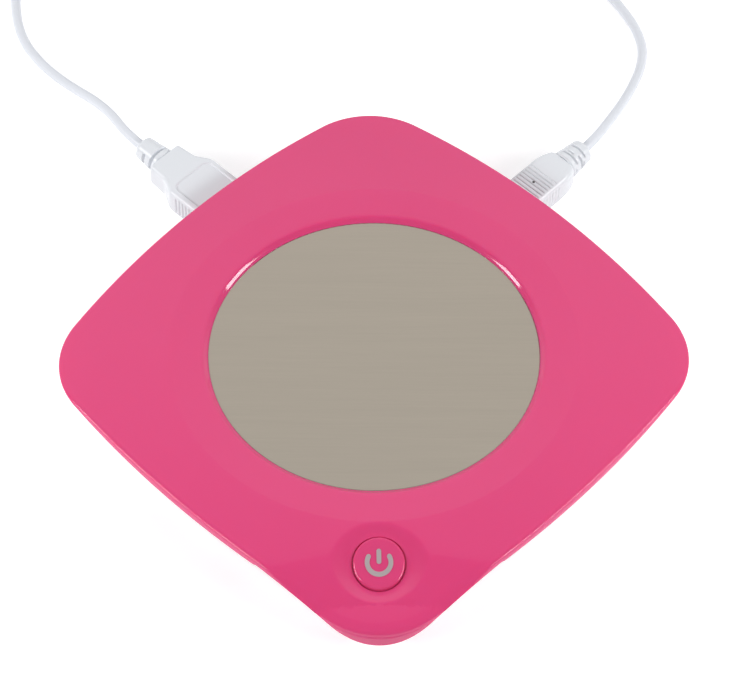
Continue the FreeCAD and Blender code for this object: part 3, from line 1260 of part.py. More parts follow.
for thing in doc.Objects:
    if "Invalid" in thing.State or "Error" in thing.State:
        raise RuntimeError("%s has failed" % thing.Label)
for thing in NODES:
    if thing.Shape.isNull() or not thing.Shape.isValid() or not thing.Shape.Solids:
        raise RuntimeError("%s has no sound solid" % thing.Label)

os.makedirs("parts", exist_ok=True)
for thing in NODES:
    thing.Shape.exportStep("parts/%s.step" % thing.Label)
    print("%-20s solids %d volume %.1f" % (thing.Label, len(thing.Shape.Solids), thing.Shape.Volume))
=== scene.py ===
import json
import math

import bmesh
import bpy
import numpy as np
from mathutils import Matrix, Vector
from mathutils.geometry import delaunay_2d_cdt


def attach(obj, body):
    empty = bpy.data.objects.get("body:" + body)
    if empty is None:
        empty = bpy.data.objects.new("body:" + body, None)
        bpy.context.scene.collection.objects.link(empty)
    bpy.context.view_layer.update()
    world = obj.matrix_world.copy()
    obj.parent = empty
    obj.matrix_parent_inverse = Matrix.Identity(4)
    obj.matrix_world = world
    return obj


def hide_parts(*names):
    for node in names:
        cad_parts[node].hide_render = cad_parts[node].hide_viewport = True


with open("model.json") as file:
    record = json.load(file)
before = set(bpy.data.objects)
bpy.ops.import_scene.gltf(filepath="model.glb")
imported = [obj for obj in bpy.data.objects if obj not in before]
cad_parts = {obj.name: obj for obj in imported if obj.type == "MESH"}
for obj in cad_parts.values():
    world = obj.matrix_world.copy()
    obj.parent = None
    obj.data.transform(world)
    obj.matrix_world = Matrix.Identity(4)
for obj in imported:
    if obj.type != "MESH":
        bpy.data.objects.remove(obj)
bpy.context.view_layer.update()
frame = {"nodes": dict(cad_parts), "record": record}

NODES = frame["nodes"]
MM = 0.001
SQ2 = math.sqrt(2)

# Sizes are in millimetres and heights are over the table.

# The cover's plan: middle of a side from the centre, radius of the bulged sides, radius of the corners
HALF, BULGE, CORNER = 65.0, 277.5, 21.2
# The plate's top face
PLATE_TOP = 17.2
# The crowned top: its radius, and its drop under the plate's top at the middle of a side
CROWN, CROWN_DROP = 467.0, 0.45
# The recess's lip: its inner edge, where its rounding starts, the wider bore under it, and its thickness
LIP_R, LIP_EDGE, BORE_R, LIP_THICK = 41.28, 41.37, 41.5, 0.12
# The ledge under the plate: its depth under the plate's top, and its inner radius
LEDGE_DROP, LEDGE_R = 2.0, 38.6
# The radius where the recess ends
RECESS_END = 52.0
# The rim: its lower edge under the plate's top, its upper rounding and its lower one
RIM_DROP, RIM_ROUND, LOW_ROUND = 3.08, 0.8, 0.25
# The skirt under the rim: its outer and inner faces from the outline, and its depth
SKIRT_OUT, SKIRT_IN, SKIRT_DEEP = 9.3, 10.5, 2.2
# The sloped corner: its crease from the centre, radius of its back, and drops at the tip above and below
CREASE, SLOPE_R, TIP_DROP, TIP_UNDER = 59.2, 53.0, 10.3, 11.75
CREASE_SOFT = 0.06
# Its lower edge: where it leaves the rim's, the drop there, its radius, and the width of the step
NOTCH, NOTCH_DROP, UNDER_R, NOTCH_RUN = 60.7, 2.6, 32.0, 0.3
# The softening near its outline: width, fall, how far past the crease it starts, and its run
TIP_SOFT, TIP_FALL, TIP_START, TIP_RUN = 3.0, 0.12, 1.3, 7
# The button's seat: distance from the centre along the diagonal, drop and slope
SEAT, SEAT_DROP, SEAT_TAN = 60.93, 2.6, math.tan(math.radians(18))
SEAT_XY = -SEAT / SQ2
# The button's hole: radius, rounding of its edge, thickness of its wall, and height of the wall's foot
HOLE_R, HOLE_ROUND, HOLE_WALL, HOLE_FOOT = 6.5, 0.3, 1.2, 8.75
# The cap's radius, the room between it and the ledge round it, and the ledge's depth
CAP_R, CAP_ROOM, GAP_DEEP = 6.3, 0.04, 0.12
# The dish round the seat: radius of its foot, slope of its wall, and how much steeper it is sideways
DISH_FOOT, DISH_TAN, DISH_SIDE = 7.6, math.tan(math.radians(25)), 0.22
# Softness of the dish's foot and of its edge
DISH_SOFT, RIM_SOFT = 0.3, 0.16
# Points round the lip, round the recess near its wall and past it, and round the button's hole
LIP_COUNT, WALL_COUNT, FIELD_COUNT, HOLE_COUNT = 640, 480, 300, 144
# The plain surface's points: their spacing, and half the width they cover
SPACING, SPREAD = 1.15, 75
# How far they keep from the centre, the button and the outline
CLEAR_CENTRE, CLEAR_BUTTON, CLEAR_EDGE = 53.0, 12.4, 5.0

# The photograph's camera: angles in degrees, distance in metres, and lens, shifts and picture width in pixels
ELEVATION, AZIMUTH, ROLL, DISTANCE = 53.84, 46.33, 0.29, 1.1552
LENS, SHIFT_X, SHIFT_Y, WIDTH = 4642, 0.8, 6.0, 750
SENSOR = 36.0


# Camera

def make_camera():
    """The photograph's view: from over the button corner, with a long lens."""
    elevation, azimuth, roll = math.radians(ELEVATION), math.radians(AZIMUTH), math.radians(ROLL)
    back = Vector((-math.cos(elevation) * math.sin(azimuth),
                   -math.cos(elevation) * math.cos(azimuth), math.sin(elevation)))
    across = Vector((math.cos(azimuth), -math.sin(azimuth), 0))
    up = back.cross(across)
    turned = across * math.cos(roll) + up * math.sin(roll)
    lifted = up * math.cos(roll) - across * math.sin(roll)
    data = bpy.data.cameras.new("camera")
    data.sensor_width = SENSOR
    data.lens = SENSOR * LENS / WIDTH
    data.shift_x = SHIFT_X / WIDTH
    data.shift_y = SHIFT_Y / WIDTH
    data.clip_end = 20
    camera = bpy.data.objects.new("camera", data)
    place = back * DISTANCE + Vector((0, 0, PLATE_TOP * MM))
    camera.matrix_world = Matrix((
        (turned.x, lifted.x, back.x, place.x), (turned.y, lifted.y, back.y, place.y),
        (turned.z, lifted.z, back.z, place.z), (0, 0, 0, 1)))
    bpy.context.scene.collection.objects.link(camera)
    bpy.context.scene.camera = camera


# Materials

class Shade:
    """A node material with a few helpers."""

    def __init__(self, name):
        self.material = bpy.data.materials.new(name)
        self.material.use_nodes = True
        self.tree = self.material.node_tree
        self.shader = self.tree.nodes["Principled BSDF"]

    def node(self, kind, **settings):
        """A node with its settings. A setting called in_ and a number is the value of that input."""
        made = self.tree.nodes.new(kind)
        for key, value in settings.items():
            if key.startswith("in_"):
                made.inputs[int(key[3:])].default_value = value
            else:
                setattr(made, key, value)
        return made

    def link(self, out, into):
        self.tree.links.new(out, into)

    def put(self, **values):
        for key, value in values.items():
            self.shader.inputs[key.replace("_", " ")].default_value = value

    def place(self, scale=(1, 1, 1), turn=0.0):
        """Object coordinates, turned about the upright axis and then stretched."""
        spot = self.node("ShaderNodeTexCoord")
        turned = self.node("ShaderNodeMapping")
        turned.inputs["Rotation"].default_value = (0, 0, turn)
        stretched = self.node("ShaderNodeMapping")
        stretched.inputs["Scale"].default_value = scale
        self.link(spot.outputs["Object"], turned.inputs["Vector"])
        self.link(turned.outputs["Vector"], stretched.inputs["Vector"])
        return stretched.outputs["Vector"]

    def noise(self, where, scale, detail=2.0, rough=0.5):
        made = self.node("ShaderNodeTexNoise")
        made.inputs["Scale"].default_value = scale
        made.inputs["Detail"].default_value = detail
        made.inputs["Roughness"].default_value = rough
        self.link(where, made.inputs["Vector"])
        return made.outputs["Fac"]

    def ramp(self, value, low, high, start=0.3, end=0.7):
        made = self.node("ShaderNodeValToRGB")
        made.color_ramp.elements[0].position = start
        made.color_ramp.elements[1].position = end
        made.color_ramp.elements[0].color = low
        made.color_ramp.elements[1].color = high
        self.link(value, made.inputs["Fac"])
        return made.outputs["Color"]

    def spread(self, value, low, high):
        made = self.node("ShaderNodeMapRange")
        made.inputs["To Min"].default_value = low
        made.inputs["To Max"].default_value = high
        self.link(value, made.inputs["Value"])
        return made.outputs["Result"]

    def bump(self, height, distance):
        made = self.node("ShaderNodeBump")
        made.inputs["Strength"].default_value = 1.0
        made.inputs["Distance"].default_value = distance
        self.link(height, made.inputs["Height"])
        self.link(made.outputs["Normal"], self.shader.inputs["Normal"])


def linear(red, green, blue):
    """A screen colour of 0 to 255 as the renderer's linear colour."""
    out = []
    for part in (red, green, blue):
        part = part / 255
        out.append(part / 12.92 if part <= 0.04045 else ((part + 0.055) / 1.055) ** 2.4)
    return (*out, 1.0)


def moulded(name, colour, rough=0.15, vary=0.03, grain=0.0, scale=900.0, metal=0.0):
    """Moulded plastic, rubber or metal: slight colour variation, uneven gloss, and a fine surface grain."""
    shade = Shade(name)
    where = shade.place()
    base = linear(*colour)
    dark = tuple(c * (1 - vary) for c in base[:3]) + (1.0,)
    shade.link(shade.ramp(shade.noise(where, 60.0), dark, base), shade.shader.inputs["Base Color"])
    gloss = shade.noise(where, 220.0, 3.0)
    shade.link(shade.spread(gloss, rough * 0.85, rough * 1.15), shade.shader.inputs["Roughness"])
    shade.put(Metallic=metal)
    if grain:
        shade.bump(shade.noise(where, scale, 3.0), grain)
    return shade.material


def gloss_plastic(name, colour, rough=0.07):
    """High-gloss moulded plastic: faintly wavy, and light goes a little way into it."""
    shade = Shade(name)
    where = shade.place()
    base = linear(*colour)
    dark = tuple(c * 0.985 for c in base[:3]) + (1.0,)
    shade.link(shade.ramp(shade.noise(where, 35.0, 1.0), dark, base), shade.shader.inputs["Base Color"])
    gloss = shade.noise(where, 500.0, 2.0)
    shade.link(shade.spread(gloss, rough * 0.8, rough * 1.3), shade.shader.inputs["Roughness"])
    shade.put(IOR=1.5, Subsurface_Weight=0.25, Subsurface_Scale=0.0015, Subsurface_Radius=(1.0, 0.3, 0.35))
    shade.bump(shade.noise(where, 45.0, 1.0), 0.000006)
    return shade.material


def brushed(name, colour, turn, rough=0.34, streak=0.04, depth=0.0000012):
    """Brushed metal: fine and wide streaks along one direction in colour and gloss, fine ones in relief."""
    shade = Shade(name)
    where = shade.place(scale=(22.0, 900.0, 900.0), turn=turn)
    fine = shade.noise(where, 3.0, 3.0, 0.6)
    wide = shade.noise(shade.place(scale=(5.0, 110.0, 110.0), turn=turn), 3.0, 2.0, 0.5)
    mix = shade.node("ShaderNodeMath", operation="MULTIPLY_ADD", in_1=0.45)
    shade.link(wide, mix.inputs[0])
    half = shade.node("ShaderNodeMath", operation="MULTIPLY", in_1=0.55)
    shade.link(fine, half.inputs[0])
    shade.link(half.outputs[0], mix.inputs[2])
    base = linear(*colour)
    dark = tuple(c * (1 - streak) for c in base[:3]) + (1.0,)
    light = tuple(min(1.0, c * (1 + streak)) for c in base[:3]) + (1.0,)
    shade.link(shade.ramp(mix.outputs[0], dark, light, 0.25, 0.75), shade.shader.inputs["Base Color"])
    shade.link(shade.spread(mix.outputs[0], rough * 0.85, rough * 1.2), shade.shader.inputs["Roughness"])
    shade.put(Metallic=1.0)
    shade.bump(fine, depth)
    return shade.material


LOOKS = {
    "cover_plastic": gloss_plastic("cover_pink", (222, 65, 123)),
    "button_plastic": gloss_plastic("button_pink", (219, 66, 122), 0.09),
    "plate_steel": brushed("plate_brushed", (180, 171, 158), math.radians(46.3),
                           streak=0.05, depth=0.000003),
    "symbol_print": moulded("symbol_silver", (190, 178, 180), 0.35, 0.05, 0.000003, metal=0.3),
    "plug_plastic": moulded("plug_white", (225, 228, 233), 0.24, 0.008),
    "cord_sheath": moulded("cord_white", (224, 227, 234), 0.38, 0.02, 0.000004, 1800.0),
    "tie_plastic": moulded("tie_white", (232, 232, 234), 0.5, 0.03, 0.00002, 700.0),
    "tray_plastic": moulded("tray_white", (230, 229, 228), 0.4, 0.02, 0.00002, 1100.0),
    "foot_rubber": moulded("foot_rubber", (38, 38, 40), 0.75, 0.12, 0.00003, 800.0),
    "seal_rubber": moulded("seal_silicone", (196, 192, 186), 0.6, 0.05, 0.00001),
    "film_plastic": moulded("film_amber", (186, 112, 36), 0.25, 0.1),
    "track_metal": moulded("track_foil", (150, 146, 140), 0.35, 0.08, 0.000004, metal=1.0),
    "pad_felt": moulded("pad_fibre", (204, 200, 190), 0.95, 0.12, 0.0002, 600.0),
    "clamp_steel": brushed("clamp_sheet", (158, 158, 160), 0.4),
    "screw_steel": moulded("screw_plated", (190, 190, 192), 0.25, 0.05, metal=1.0),
    "cutout_case": moulded("cutout_case", (220, 216, 204), 0.4, 0.05),
    "board_laminate": moulded("board_green", (22, 92, 48), 0.3, 0.2, 0.00001, 700.0),
    "chip_case": moulded("chip_black", (22, 22, 24), 0.5, 0.15, 0.00001),
    "can_metal": moulded("can_aluminium", (200, 200, 202), 0.3, 0.05, metal=1.0),
    "socket_metal": moulded("socket_plated", (205, 205, 208), 0.22, 0.05, metal=1.0),
    "socket_plastic": moulded("socket_insert", (24, 24, 26), 0.45, 0.1, 0.00001),
    "insert_plastic": moulded("plug_insert", (232, 231, 228), 0.4, 0.03, 0.00001),
    "lead_sheath": moulded("lead_red", (206, 44, 36), 0.4, 0.05),
}


for part in frame["record"]["subparts"]:
    data = NODES[part["node"]].data
    data.materials.clear()
    data.materials.append(LOOKS[part["material_slot"]])
    data.polygons.foreach_set("use_smooth", [True] * len(data.polygons))
    data.set_sharp_from_angle(angle=math.radians(32))


# Cord

CORD_R = 1.3
# Height of the cord's middle where it lies on the table
FLOOR = 1.35
LEFT_ROUTE = [
    (10.8, 93.55, 8.7), (10.9, 100.0, 8.7), (13.0, 107.6, 8.2), (14.1, 115.4, 6.3), (14.4, 123.2, 4.0),
    (14.9, 130.8, 2.2), (15.8, 138.3, FLOOR), (17.5, 146.1, FLOOR), (22.1, 154.0, FLOOR),
    (29.0, 161.5, FLOOR), (38.0, 165.5, 1.6), (47.5, 164.5, 2.0), (56.0, 158.5, 2.2), (63.5, 151.0, 2.2),
]
RIGHT_ROUTE = [
    (90.35, 11.6, 7.175), (96.5, 12.1, 7.0), (103.0, 13.8, 6.0), (110.0, 15.9, 4.4), (117.0, 18.5, 2.8),
    (124.0, 21.6, 1.7), (129.9, 25.6, FLOOR), (134.0, 31.5, FLOOR), (136.6, 38.5, FLOOR),
    (138.6, 47.0, FLOOR), (139.0, 57.0, FLOOR), (136.5, 67.5, FLOOR), (131.0, 78.0, FLOOR),
    (123.5, 88.0, FLOOR), (113.5, 97.5, FLOOR), (104.0, 107.5, FLOOR), (95.5, 118.0, 2.2),
    (87.0, 127.5, 4.0),
]


def coil_points():
    """The coil's control points, in on the lower layer and out on the upper one, and how it is left."""
    first, last = Vector(LEFT_ROUTE[-2]), Vector(LEFT_ROUTE[-1])
    ahead = (last - first).normalized()
    left = Vector((-ahead.y, ahead.x, 0))
    cord, pitch, loops, inner = 2 * CORD_R, 3.05, 3, 9.5
    outer = inner + pitch * loops
    start = last + ahead * cord
    centre = start + left * outer
    low, high = start.z, start.z + pitch
    steps = 12
    wider = 1 / (0.75 + 0.25 * math.cos(2 * math.pi / steps))
    points = []
    for index in range(2 * loops * steps):
        share = (index + 0.5) / steps
        turn = 2 * math.pi * share
        if share <= loops + 0.25:
            radius = outer - pitch * share
        else:
            radius = inner + pitch * (share - loops - 0.5)
        rise = min(1.0, max(0.0, (share - loops) / 0.5))
        aside, along = -radius * wider * math.cos(turn), radius * wider * math.sin(turn)
        place = centre + left * aside + ahead * along
        place.z = low + (high - low) * rise * rise * (3 - 2 * rise)
        points.append(place)
    leaving = centre - left * outer + ahead * cord
    leaving.z = high
    return points, leaving, ahead


def make_cord():
    """The whole cord, from plug to plug, as one smooth line."""
    coil, leaving, ahead = coil_points()
    right = [Vector(p) for p in RIGHT_ROUTE] + [leaving + ahead * 8]
    route = [Vector(p) for p in LEFT_ROUTE] + coil + right[::-1]
    curve = bpy.data.curves.new("cord", "CURVE")
    curve.dimensions = "3D"
    spline = curve.splines.new("NURBS")
    spline.points.add(len(route) - 1)
    for point, place in zip(spline.points, route):
        point.co = (place.x * MM, place.y * MM, place.z * MM, 1)
    spline.order_u = 3
    spline.use_endpoint_u = True
    spline.resolution_u = 10
    curve.bevel_depth = CORD_R * MM
    curve.bevel_resolution = 8
    curve.use_fill_caps = True
    piece = bpy.data.objects.new("cord", curve)
    bpy.context.scene.collection.objects.link(piece)
    curve.materials.append(LOOKS["cord_sheath"])
    return piece


# Cover: its shape

# How far a side's arc has its middle past the centre, where a corner's arc has its own, and half a side's angle
OVER = BULGE - HALF
CORNER_AT = (math.sqrt(2 * (BULGE - CORNER) ** 2 - OVER ** 2) - OVER) / 2
SIDE_ANGLE = math.asin(CORNER_AT / (BULGE - CORNER))
TIP = SQ2 * CORNER_AT + CORNER


def plan_outline(per_side=150, per_corner=110):
    """Places round the cover's plan and their outward directions, from the -X -Y corner on."""
    corner_angle = math.pi / 2 - 2 * SIDE_ANGLE
    places, outward = [], []
    for quarter in range(4):
        base = math.radians(225) + quarter * math.pi / 2
        middle = Vector((SQ2 * CORNER_AT * math.cos(base), SQ2 * CORNER_AT * math.sin(base), 0))
        for index in range(per_corner):
            angle = base - corner_angle / 2 + corner_angle * index / per_corner
            normal = Vector((math.cos(angle), math.sin(angle), 0))
            places.append(middle + normal * CORNER)
            outward.append(normal)
        side = base + math.pi / 4
        axis = Vector((math.cos(side), math.sin(side), 0))
        for index in range(per_side):
            angle = side - SIDE_ANGLE + 2 * SIDE_ANGLE * index / per_side
            normal = Vector((math.cos(angle), math.sin(angle), 0))
            places.append(normal * BULGE - axis * OVER)
            outward.append(normal)
    return np.array([p[:2] for p in places]), np.array([n[:2] for n in outward])


def smooth_step(value):
    value = np.clip(value, 0, 1)
    return value * value * (3 - 2 * value)


def edge_distance(x, y):
    """Distance inwards from the plan's outline."""
    x, y = np.abs(x), np.abs(y)
    side = BULGE - np.maximum(np.hypot(x + OVER, y), np.hypot(x, y + OVER))
    slope = math.tan(SIDE_ANGLE)
    at_corner = (y > (x + OVER) * slope) & (x > (y + OVER) * slope)
    return np.where(at_corner, CORNER - np.hypot(x - CORNER_AT, y - CORNER_AT), side)


def arc_centre(start, end, radius):
    """Centre of the arc that bulges up between two places, each a distance and a height."""
    start, end = np.array(start), np.array(end)
    chord = end - start
    half = np.linalg.norm(chord) / 2
    right = np.array([chord[1], -chord[0]]) / (2 * half)
    return (start + end) / 2 + right * math.sqrt(radius ** 2 - half ** 2)


CROWN_TOP = PLATE_TOP - CROWN_DROP + CROWN - math.sqrt(CROWN ** 2 - HALF ** 2)
CREASE_TOP = CROWN_TOP - CROWN + math.sqrt(CROWN ** 2 - CREASE ** 2)
SLOPE_C = arc_centre([-TIP, PLATE_TOP - TIP_DROP], [-CREASE, CREASE_TOP], SLOPE_R)
UNDER_C = arc_centre([-TIP, PLATE_TOP - TIP_UNDER], [-NOTCH, PLATE_TOP - NOTCH_DROP], UNDER_R)
START_TAN = (-CREASE - SLOPE_C[0]) / -math.sqrt(SLOPE_R ** 2 - (-CREASE - SLOPE_C[0]) ** 2)


def outer_top(x, y):
    """Height of the crowned top and the sloped corner, with the soft crease between them."""
    u = (x + y) / SQ2
    dome = CROWN_TOP - CROWN + np.sqrt(CROWN ** 2 - x * x - y * y)
    inside = np.clip(u, -TIP - 2, -CREASE)
    arc = SLOPE_C[1] + np.sqrt(SLOPE_R ** 2 - (inside - SLOPE_C[0]) ** 2)
    slope = arc + np.where(u > -CREASE, (u + CREASE) * START_TAN, 0)
    gap = np.clip((dome - slope) / CREASE_SOFT, -60, 60)
    return dome - CREASE_SOFT * np.log1p(np.exp(gap))


# The recess in section: radius, and height over the plate's top
RECESS = [
    (0.0, 0.02), (41.4, 0.02), (41.55, 0.06), (41.72, 0.18), (42.05, 0.48), (42.4, 0.79), (42.7, 0.95),
    (43.2, 1.03), (44.2, 1.08), (45.6, 1.12), (47.2, 1.18), (49.0, 1.23), (50.4, 1.265), (51.6, 1.29),
]


def recess_profile():
    """The recess in section as a smooth table of height over the plate against radius."""
    steps = np.array(RECESS)
    radius = np.linspace(41.0, 54.0, 1301)
    crown = CROWN_TOP - PLATE_TOP - CROWN + np.sqrt(CROWN ** 2 - radius ** 2)
    table = np.minimum(np.interp(radius, steps[:, 0], steps[:, 1]), crown)
    kernel = np.hanning(33)
    kernel /= kernel.sum()
    smooth = np.convolve(np.pad(table, 16, mode="edge"), kernel, "valid")
    smooth[-20:] = crown[-20:]
    return radius, smooth


RECESS_R, RECESS_Z = recess_profile()


def top(x, y):
    """Height of the finished top: crown, slope, plate recess, softened tip and the button's dish."""
    z = outer_top(x, y)
    reach = np.hypot(x, y)
    inner = PLATE_TOP + np.interp(reach, RECESS_R, RECESS_Z)
    z = np.where(reach < RECESS_END, np.minimum(z, inner), z)
    u = (x + y) / SQ2
    seat = PLATE_TOP - SEAT_DROP + (u + SEAT) * SEAT_TAN
    away = np.hypot(x - SEAT_XY, y - SEAT_XY)
    past = away - DISH_FOOT
    side = (x - y) / SQ2 / np.maximum(away, 1)
    wall = DISH_TAN * (1 + DISH_SIDE * side * side) * DISH_SOFT * np.logaddexp(0, past / DISH_SOFT)
    near = np.clip(TIP_SOFT - edge_distance(x, y), 0, TIP_SOFT)
    z = z - smooth_step((-u - CREASE - TIP_START) / TIP_RUN) * TIP_FALL * near * near
    return z - RIM_SOFT * np.logaddexp(0, (z - seat - wall) / RIM_SOFT)


def lower_edge(x, y):
    """Height of the rim's lower edge."""
    u = (x + y) / SQ2
    under = UNDER_R ** 2 - (np.clip(u, -TIP, -NOTCH) - UNDER_C[0]) ** 2
    arc = UNDER_C[1] + np.sqrt(np.clip(under, 0, None))
    step = smooth_step((-u - NOTCH + NOTCH_RUN / 2) / NOTCH_RUN)
    return (PLATE_TOP - RIM_DROP) * (1 - step) + arc * step


def grad_normals(points):
    """Normals of the top at points, from its slope."""
    h = 0.02
    x, y = points[:, 0], points[:, 1]
    dx = (top(x + h, y) - top(x - h, y)) / (2 * h)
    dy = (top(x, y + h) - top(x, y - h)) / (2 * h)
    return unit(np.stack([-dx, -dy, np.ones_like(dx)], 1))


def unit(vectors):
    return vectors / np.linalg.norm(vectors, axis=1)[:, None]


# Cover: its mesh

def ring_points(centre, radius, count, phase=0.0):
    """Places round a circle whose centre has the same x and y."""
    angle = 2 * np.pi * (np.arange(count) + phase) / count
    return np.stack([centre + radius * np.cos(angle), centre + radius * np.sin(angle)], 1)


def raised(flat, height):
    """Flat places, or directions, with one height or one for each."""
    return np.column_stack([flat, np.broadcast_to(np.asarray(height, float), len(flat))])


def reaches(points):
    """Distances from the centre and from the button's middle."""
    return (np.hypot(points[:, 0], points[:, 1]),
            np.hypot(points[:, 0] - SEAT_XY, points[:, 1] - SEAT_XY))


def inside_plan(points, inset):
    """Whether points lie inside the plan moved inwards by inset."""
    return edge_distance(points[:, 0], points[:, 1]) > inset


def on_plain(points):
    """Whether points are clear of the recess, the dish and the rim."""
    reach, away = reaches(points)
    return (reach > CLEAR_CENTRE) & (away > CLEAR_BUTTON) & inside_plan(points, CLEAR_EDGE)


def plain_points():
    """An even lattice over the plain parts of the top, and close lines along the crease."""
    lattice = []
    for row in range(int(2 * SPREAD / (SPACING * 0.866))):
        y = -SPREAD + row * SPACING * 0.866
        x = np.arange(-SPREAD, SPREAD, SPACING) + (row % 2) * SPACING / 2
        lattice.append(np.stack([x, np.full_like(x, y)], 1))
    lattice = np.concatenate(lattice)
    crease = np.abs((lattice[:, 0] + lattice[:, 1]) / SQ2 + CREASE) < 0.4
    points = [lattice[on_plain(lattice) & ~crease]]
    across = np.arange(-45, 45.01, 0.6)
    for shift in (-1.2, -0.6, 0.0, 0.6, 1.2):
        u = -CREASE + shift
        line = np.stack([(u + across) / SQ2, (u - across) / SQ2], 1)
        points.append(line[on_plain(line)])
    return points


def top_sheet(edge, outward):
    """The top between rim, lip and button's hole: its places seen from above, and its triangles."""
    loops = [edge - outward * RIM_ROUND, ring_points(0, LIP_EDGE, LIP_COUNT),
             ring_points(SEAT_XY, HOLE_R + HOLE_ROUND, HOLE_COUNT)]
    free = [edge[::2] - outward[::2] * inset for inset in (1.3, 2.0, 3.0, 4.4)]
    free += [ring_points(0, radius, LIP_COUNT) for radius in np.arange(41.44, 43.4, 0.07)]
    radii = list(np.arange(43.5, 46.4, 0.3)) + list(np.arange(46.7, 52.6, 0.6))
    for index, radius in enumerate(radii):
        free.append(ring_points(0, radius, WALL_COUNT if radius < 46 else FIELD_COUNT, 0.5 * (index % 2)))
    for index, radius in enumerate(np.arange(HOLE_R + 0.55, 12.2, 0.36)):
        free.append(ring_points(SEAT_XY, radius, HOLE_COUNT, 0.5 * (index % 2)))
    free = np.concatenate(free + plain_points())
    reach, away = reaches(free)
    good = (away > HOLE_R + 0.45) & (reach > LIP_EDGE + 0.05) & inside_plan(free, RIM_ROUND + 0.3)
    bounds, start = [], 0
    for loop in loops:
        size = len(loop)
        bounds += [(start + i, start + (i + 1) % size) for i in range(size)]
        start += size
    points = np.concatenate(loops + [free[good]])
    result = delaunay_2d_cdt([Vector(p) for p in points], bounds, [], 0, 1e-5, False)
    flat = np.array([tuple(v) for v in result[0]])
    tris = np.array([f for f in result[2]])
    middle = flat[tris].mean(1)
    reach, away = reaches(middle)
    keep = (reach > LIP_EDGE - 0.01) & (away > HOLE_R + 0.28) & inside_plan(middle, RIM_ROUND - 0.01)
    return flat, tris[keep]


def rim_strip(edge, outward):
    """The rim in rows: rounded edge, wall, small lower rounding, underside and the skirt under it."""
    rim_xy = edge - outward * RIM_ROUND
    z0 = top(rim_xy[:, 0], rim_xy[:, 1])
    slope_normal = grad_normals(rim_xy)
    lean = slope_normal[:, :2] / slope_normal[:, 2:]
    steep = (lean * outward).sum(1)
    sideways = lean - outward * steep[:, None]
    low = lower_edge(edge[:, 0], edge[:, 1])
    corner_z = z0 - RIM_ROUND * steep
    fall = np.clip(corner_z - low - LOW_ROUND, 0.02, RIM_ROUND)
    wall_top = corner_z - fall
    rows, row_normals = [], []
    for share in (0.0, 0.1, 0.2, 0.3, 0.4, 0.5, 0.6, 0.7, 0.8, 0.9, 1.0):
        left = 1 - share
        height = left * left * z0 + 2 * left * share * corner_z + share * share * wall_top
        rows.append(raised(rim_xy + outward * (RIM_ROUND * (1 - left * left)), height))
        out = left * RIM_ROUND * steep + share * fall
        flat_part = outward * out[:, None] + sideways * left * RIM_ROUND
        row_normals.append(unit(raised(flat_part, left * RIM_ROUND)))
    for share in (0.0, 0.35, 0.7, 1.0):
        rows.append(raised(edge, wall_top * (1 - share) + (low + LOW_ROUND) * share))
        row_normals.append(raised(outward, 0))
    for angle in (30, 60, 90):
        turn = math.radians(angle)
        place = edge - outward * (LOW_ROUND * (1 - math.cos(turn)))
        rows.append(raised(place, low + LOW_ROUND * (1 - math.sin(turn))))
        row_normals.append(raised(outward * math.cos(turn), -math.sin(turn)))
    side, down = raised(outward, 0), raised(outward * 0, -1)
    under = [(inset, 0.0, down) for inset in (1.0, 2.5, 4.0, 5.5, 7.0, 8.6, SKIRT_OUT)]
    under += [(SKIRT_OUT, 0.0, side), (SKIRT_OUT, SKIRT_DEEP, side), (SKIRT_IN, SKIRT_DEEP, down)]
    for inset, drop, normal in under:
        place = edge - outward * inset
        rows.append(raised(place, lower_edge(place[:, 0], place[:, 1]) - drop))
        row_normals.append(normal)
    return rows, row_normals


def lip_strip():
    """The recess's lip, the wider bore under it and the ledge under the plate, in rows."""
    ring = ring_points(0, 1.0, LIP_COUNT)
    rows, row_normals = [], []
    for radius, height, inward, upward in (
            (LIP_EDGE, 0.02, 0.1, 1.0), (41.325, 0.012, 0.6, 0.8), (41.29, -0.008, 0.9, 0.4),
            (LIP_R, -0.03, 1, 0), (LIP_R, -LIP_THICK, 1, 0), (LIP_R, -LIP_THICK, 0, -1),
            (BORE_R, -LIP_THICK, 0, -1), (BORE_R, -LIP_THICK, 1, 0), (BORE_R, -LEDGE_DROP, 1, 0),
            (BORE_R, -LEDGE_DROP, 0, 1), (LEDGE_R, -LEDGE_DROP, 0, 1)):
        rows.append(raised(ring * radius, PLATE_TOP + height))
        row_normals.append(unit(raised(-ring * inward, upward)))
    return rows, row_normals


def hole_strip():
    """The button's hole in rows: rounded edge, the ledge close to the cap, the wall and its foot."""
    ring = ring_points(0, 1.0, HOLE_COUNT)
    rows, row_normals = [], []
    base_xy = ring * (HOLE_R + HOLE_ROUND) + SEAT_XY
    seat_z = top(base_xy[:, 0], base_xy[:, 1])
    for angle in (0, 22, 45, 68, 90):
        turn = math.radians(angle)
        place = ring * (HOLE_R + HOLE_ROUND * (1 - math.sin(turn))) + SEAT_XY
        rows.append(raised(place, seat_z - HOLE_ROUND * (1 - math.cos(turn))))
        row_normals.append(raised(-ring * math.sin(turn), math.cos(turn)))
    wall = ring * HOLE_R + SEAT_XY
    ledge = ring * (CAP_R + CAP_ROOM) + SEAT_XY
    foot = ring * (HOLE_R + HOLE_WALL) + SEAT_XY
    step_z = seat_z - HOLE_ROUND - GAP_DEEP
    inward, upward, down = raised(-ring, 0), raised(ring * 0, 1), raised(ring * 0, -1)
    for place, height, normal in (
            (wall, step_z, inward), (wall, step_z, upward), (ledge, step_z, upward),
            (ledge, step_z, inward), (ledge, HOLE_FOOT, inward), (foot, HOLE_FOOT, down)):
        rows.append(raised(place, height))
        row_normals.append(normal)
    return rows, row_normals


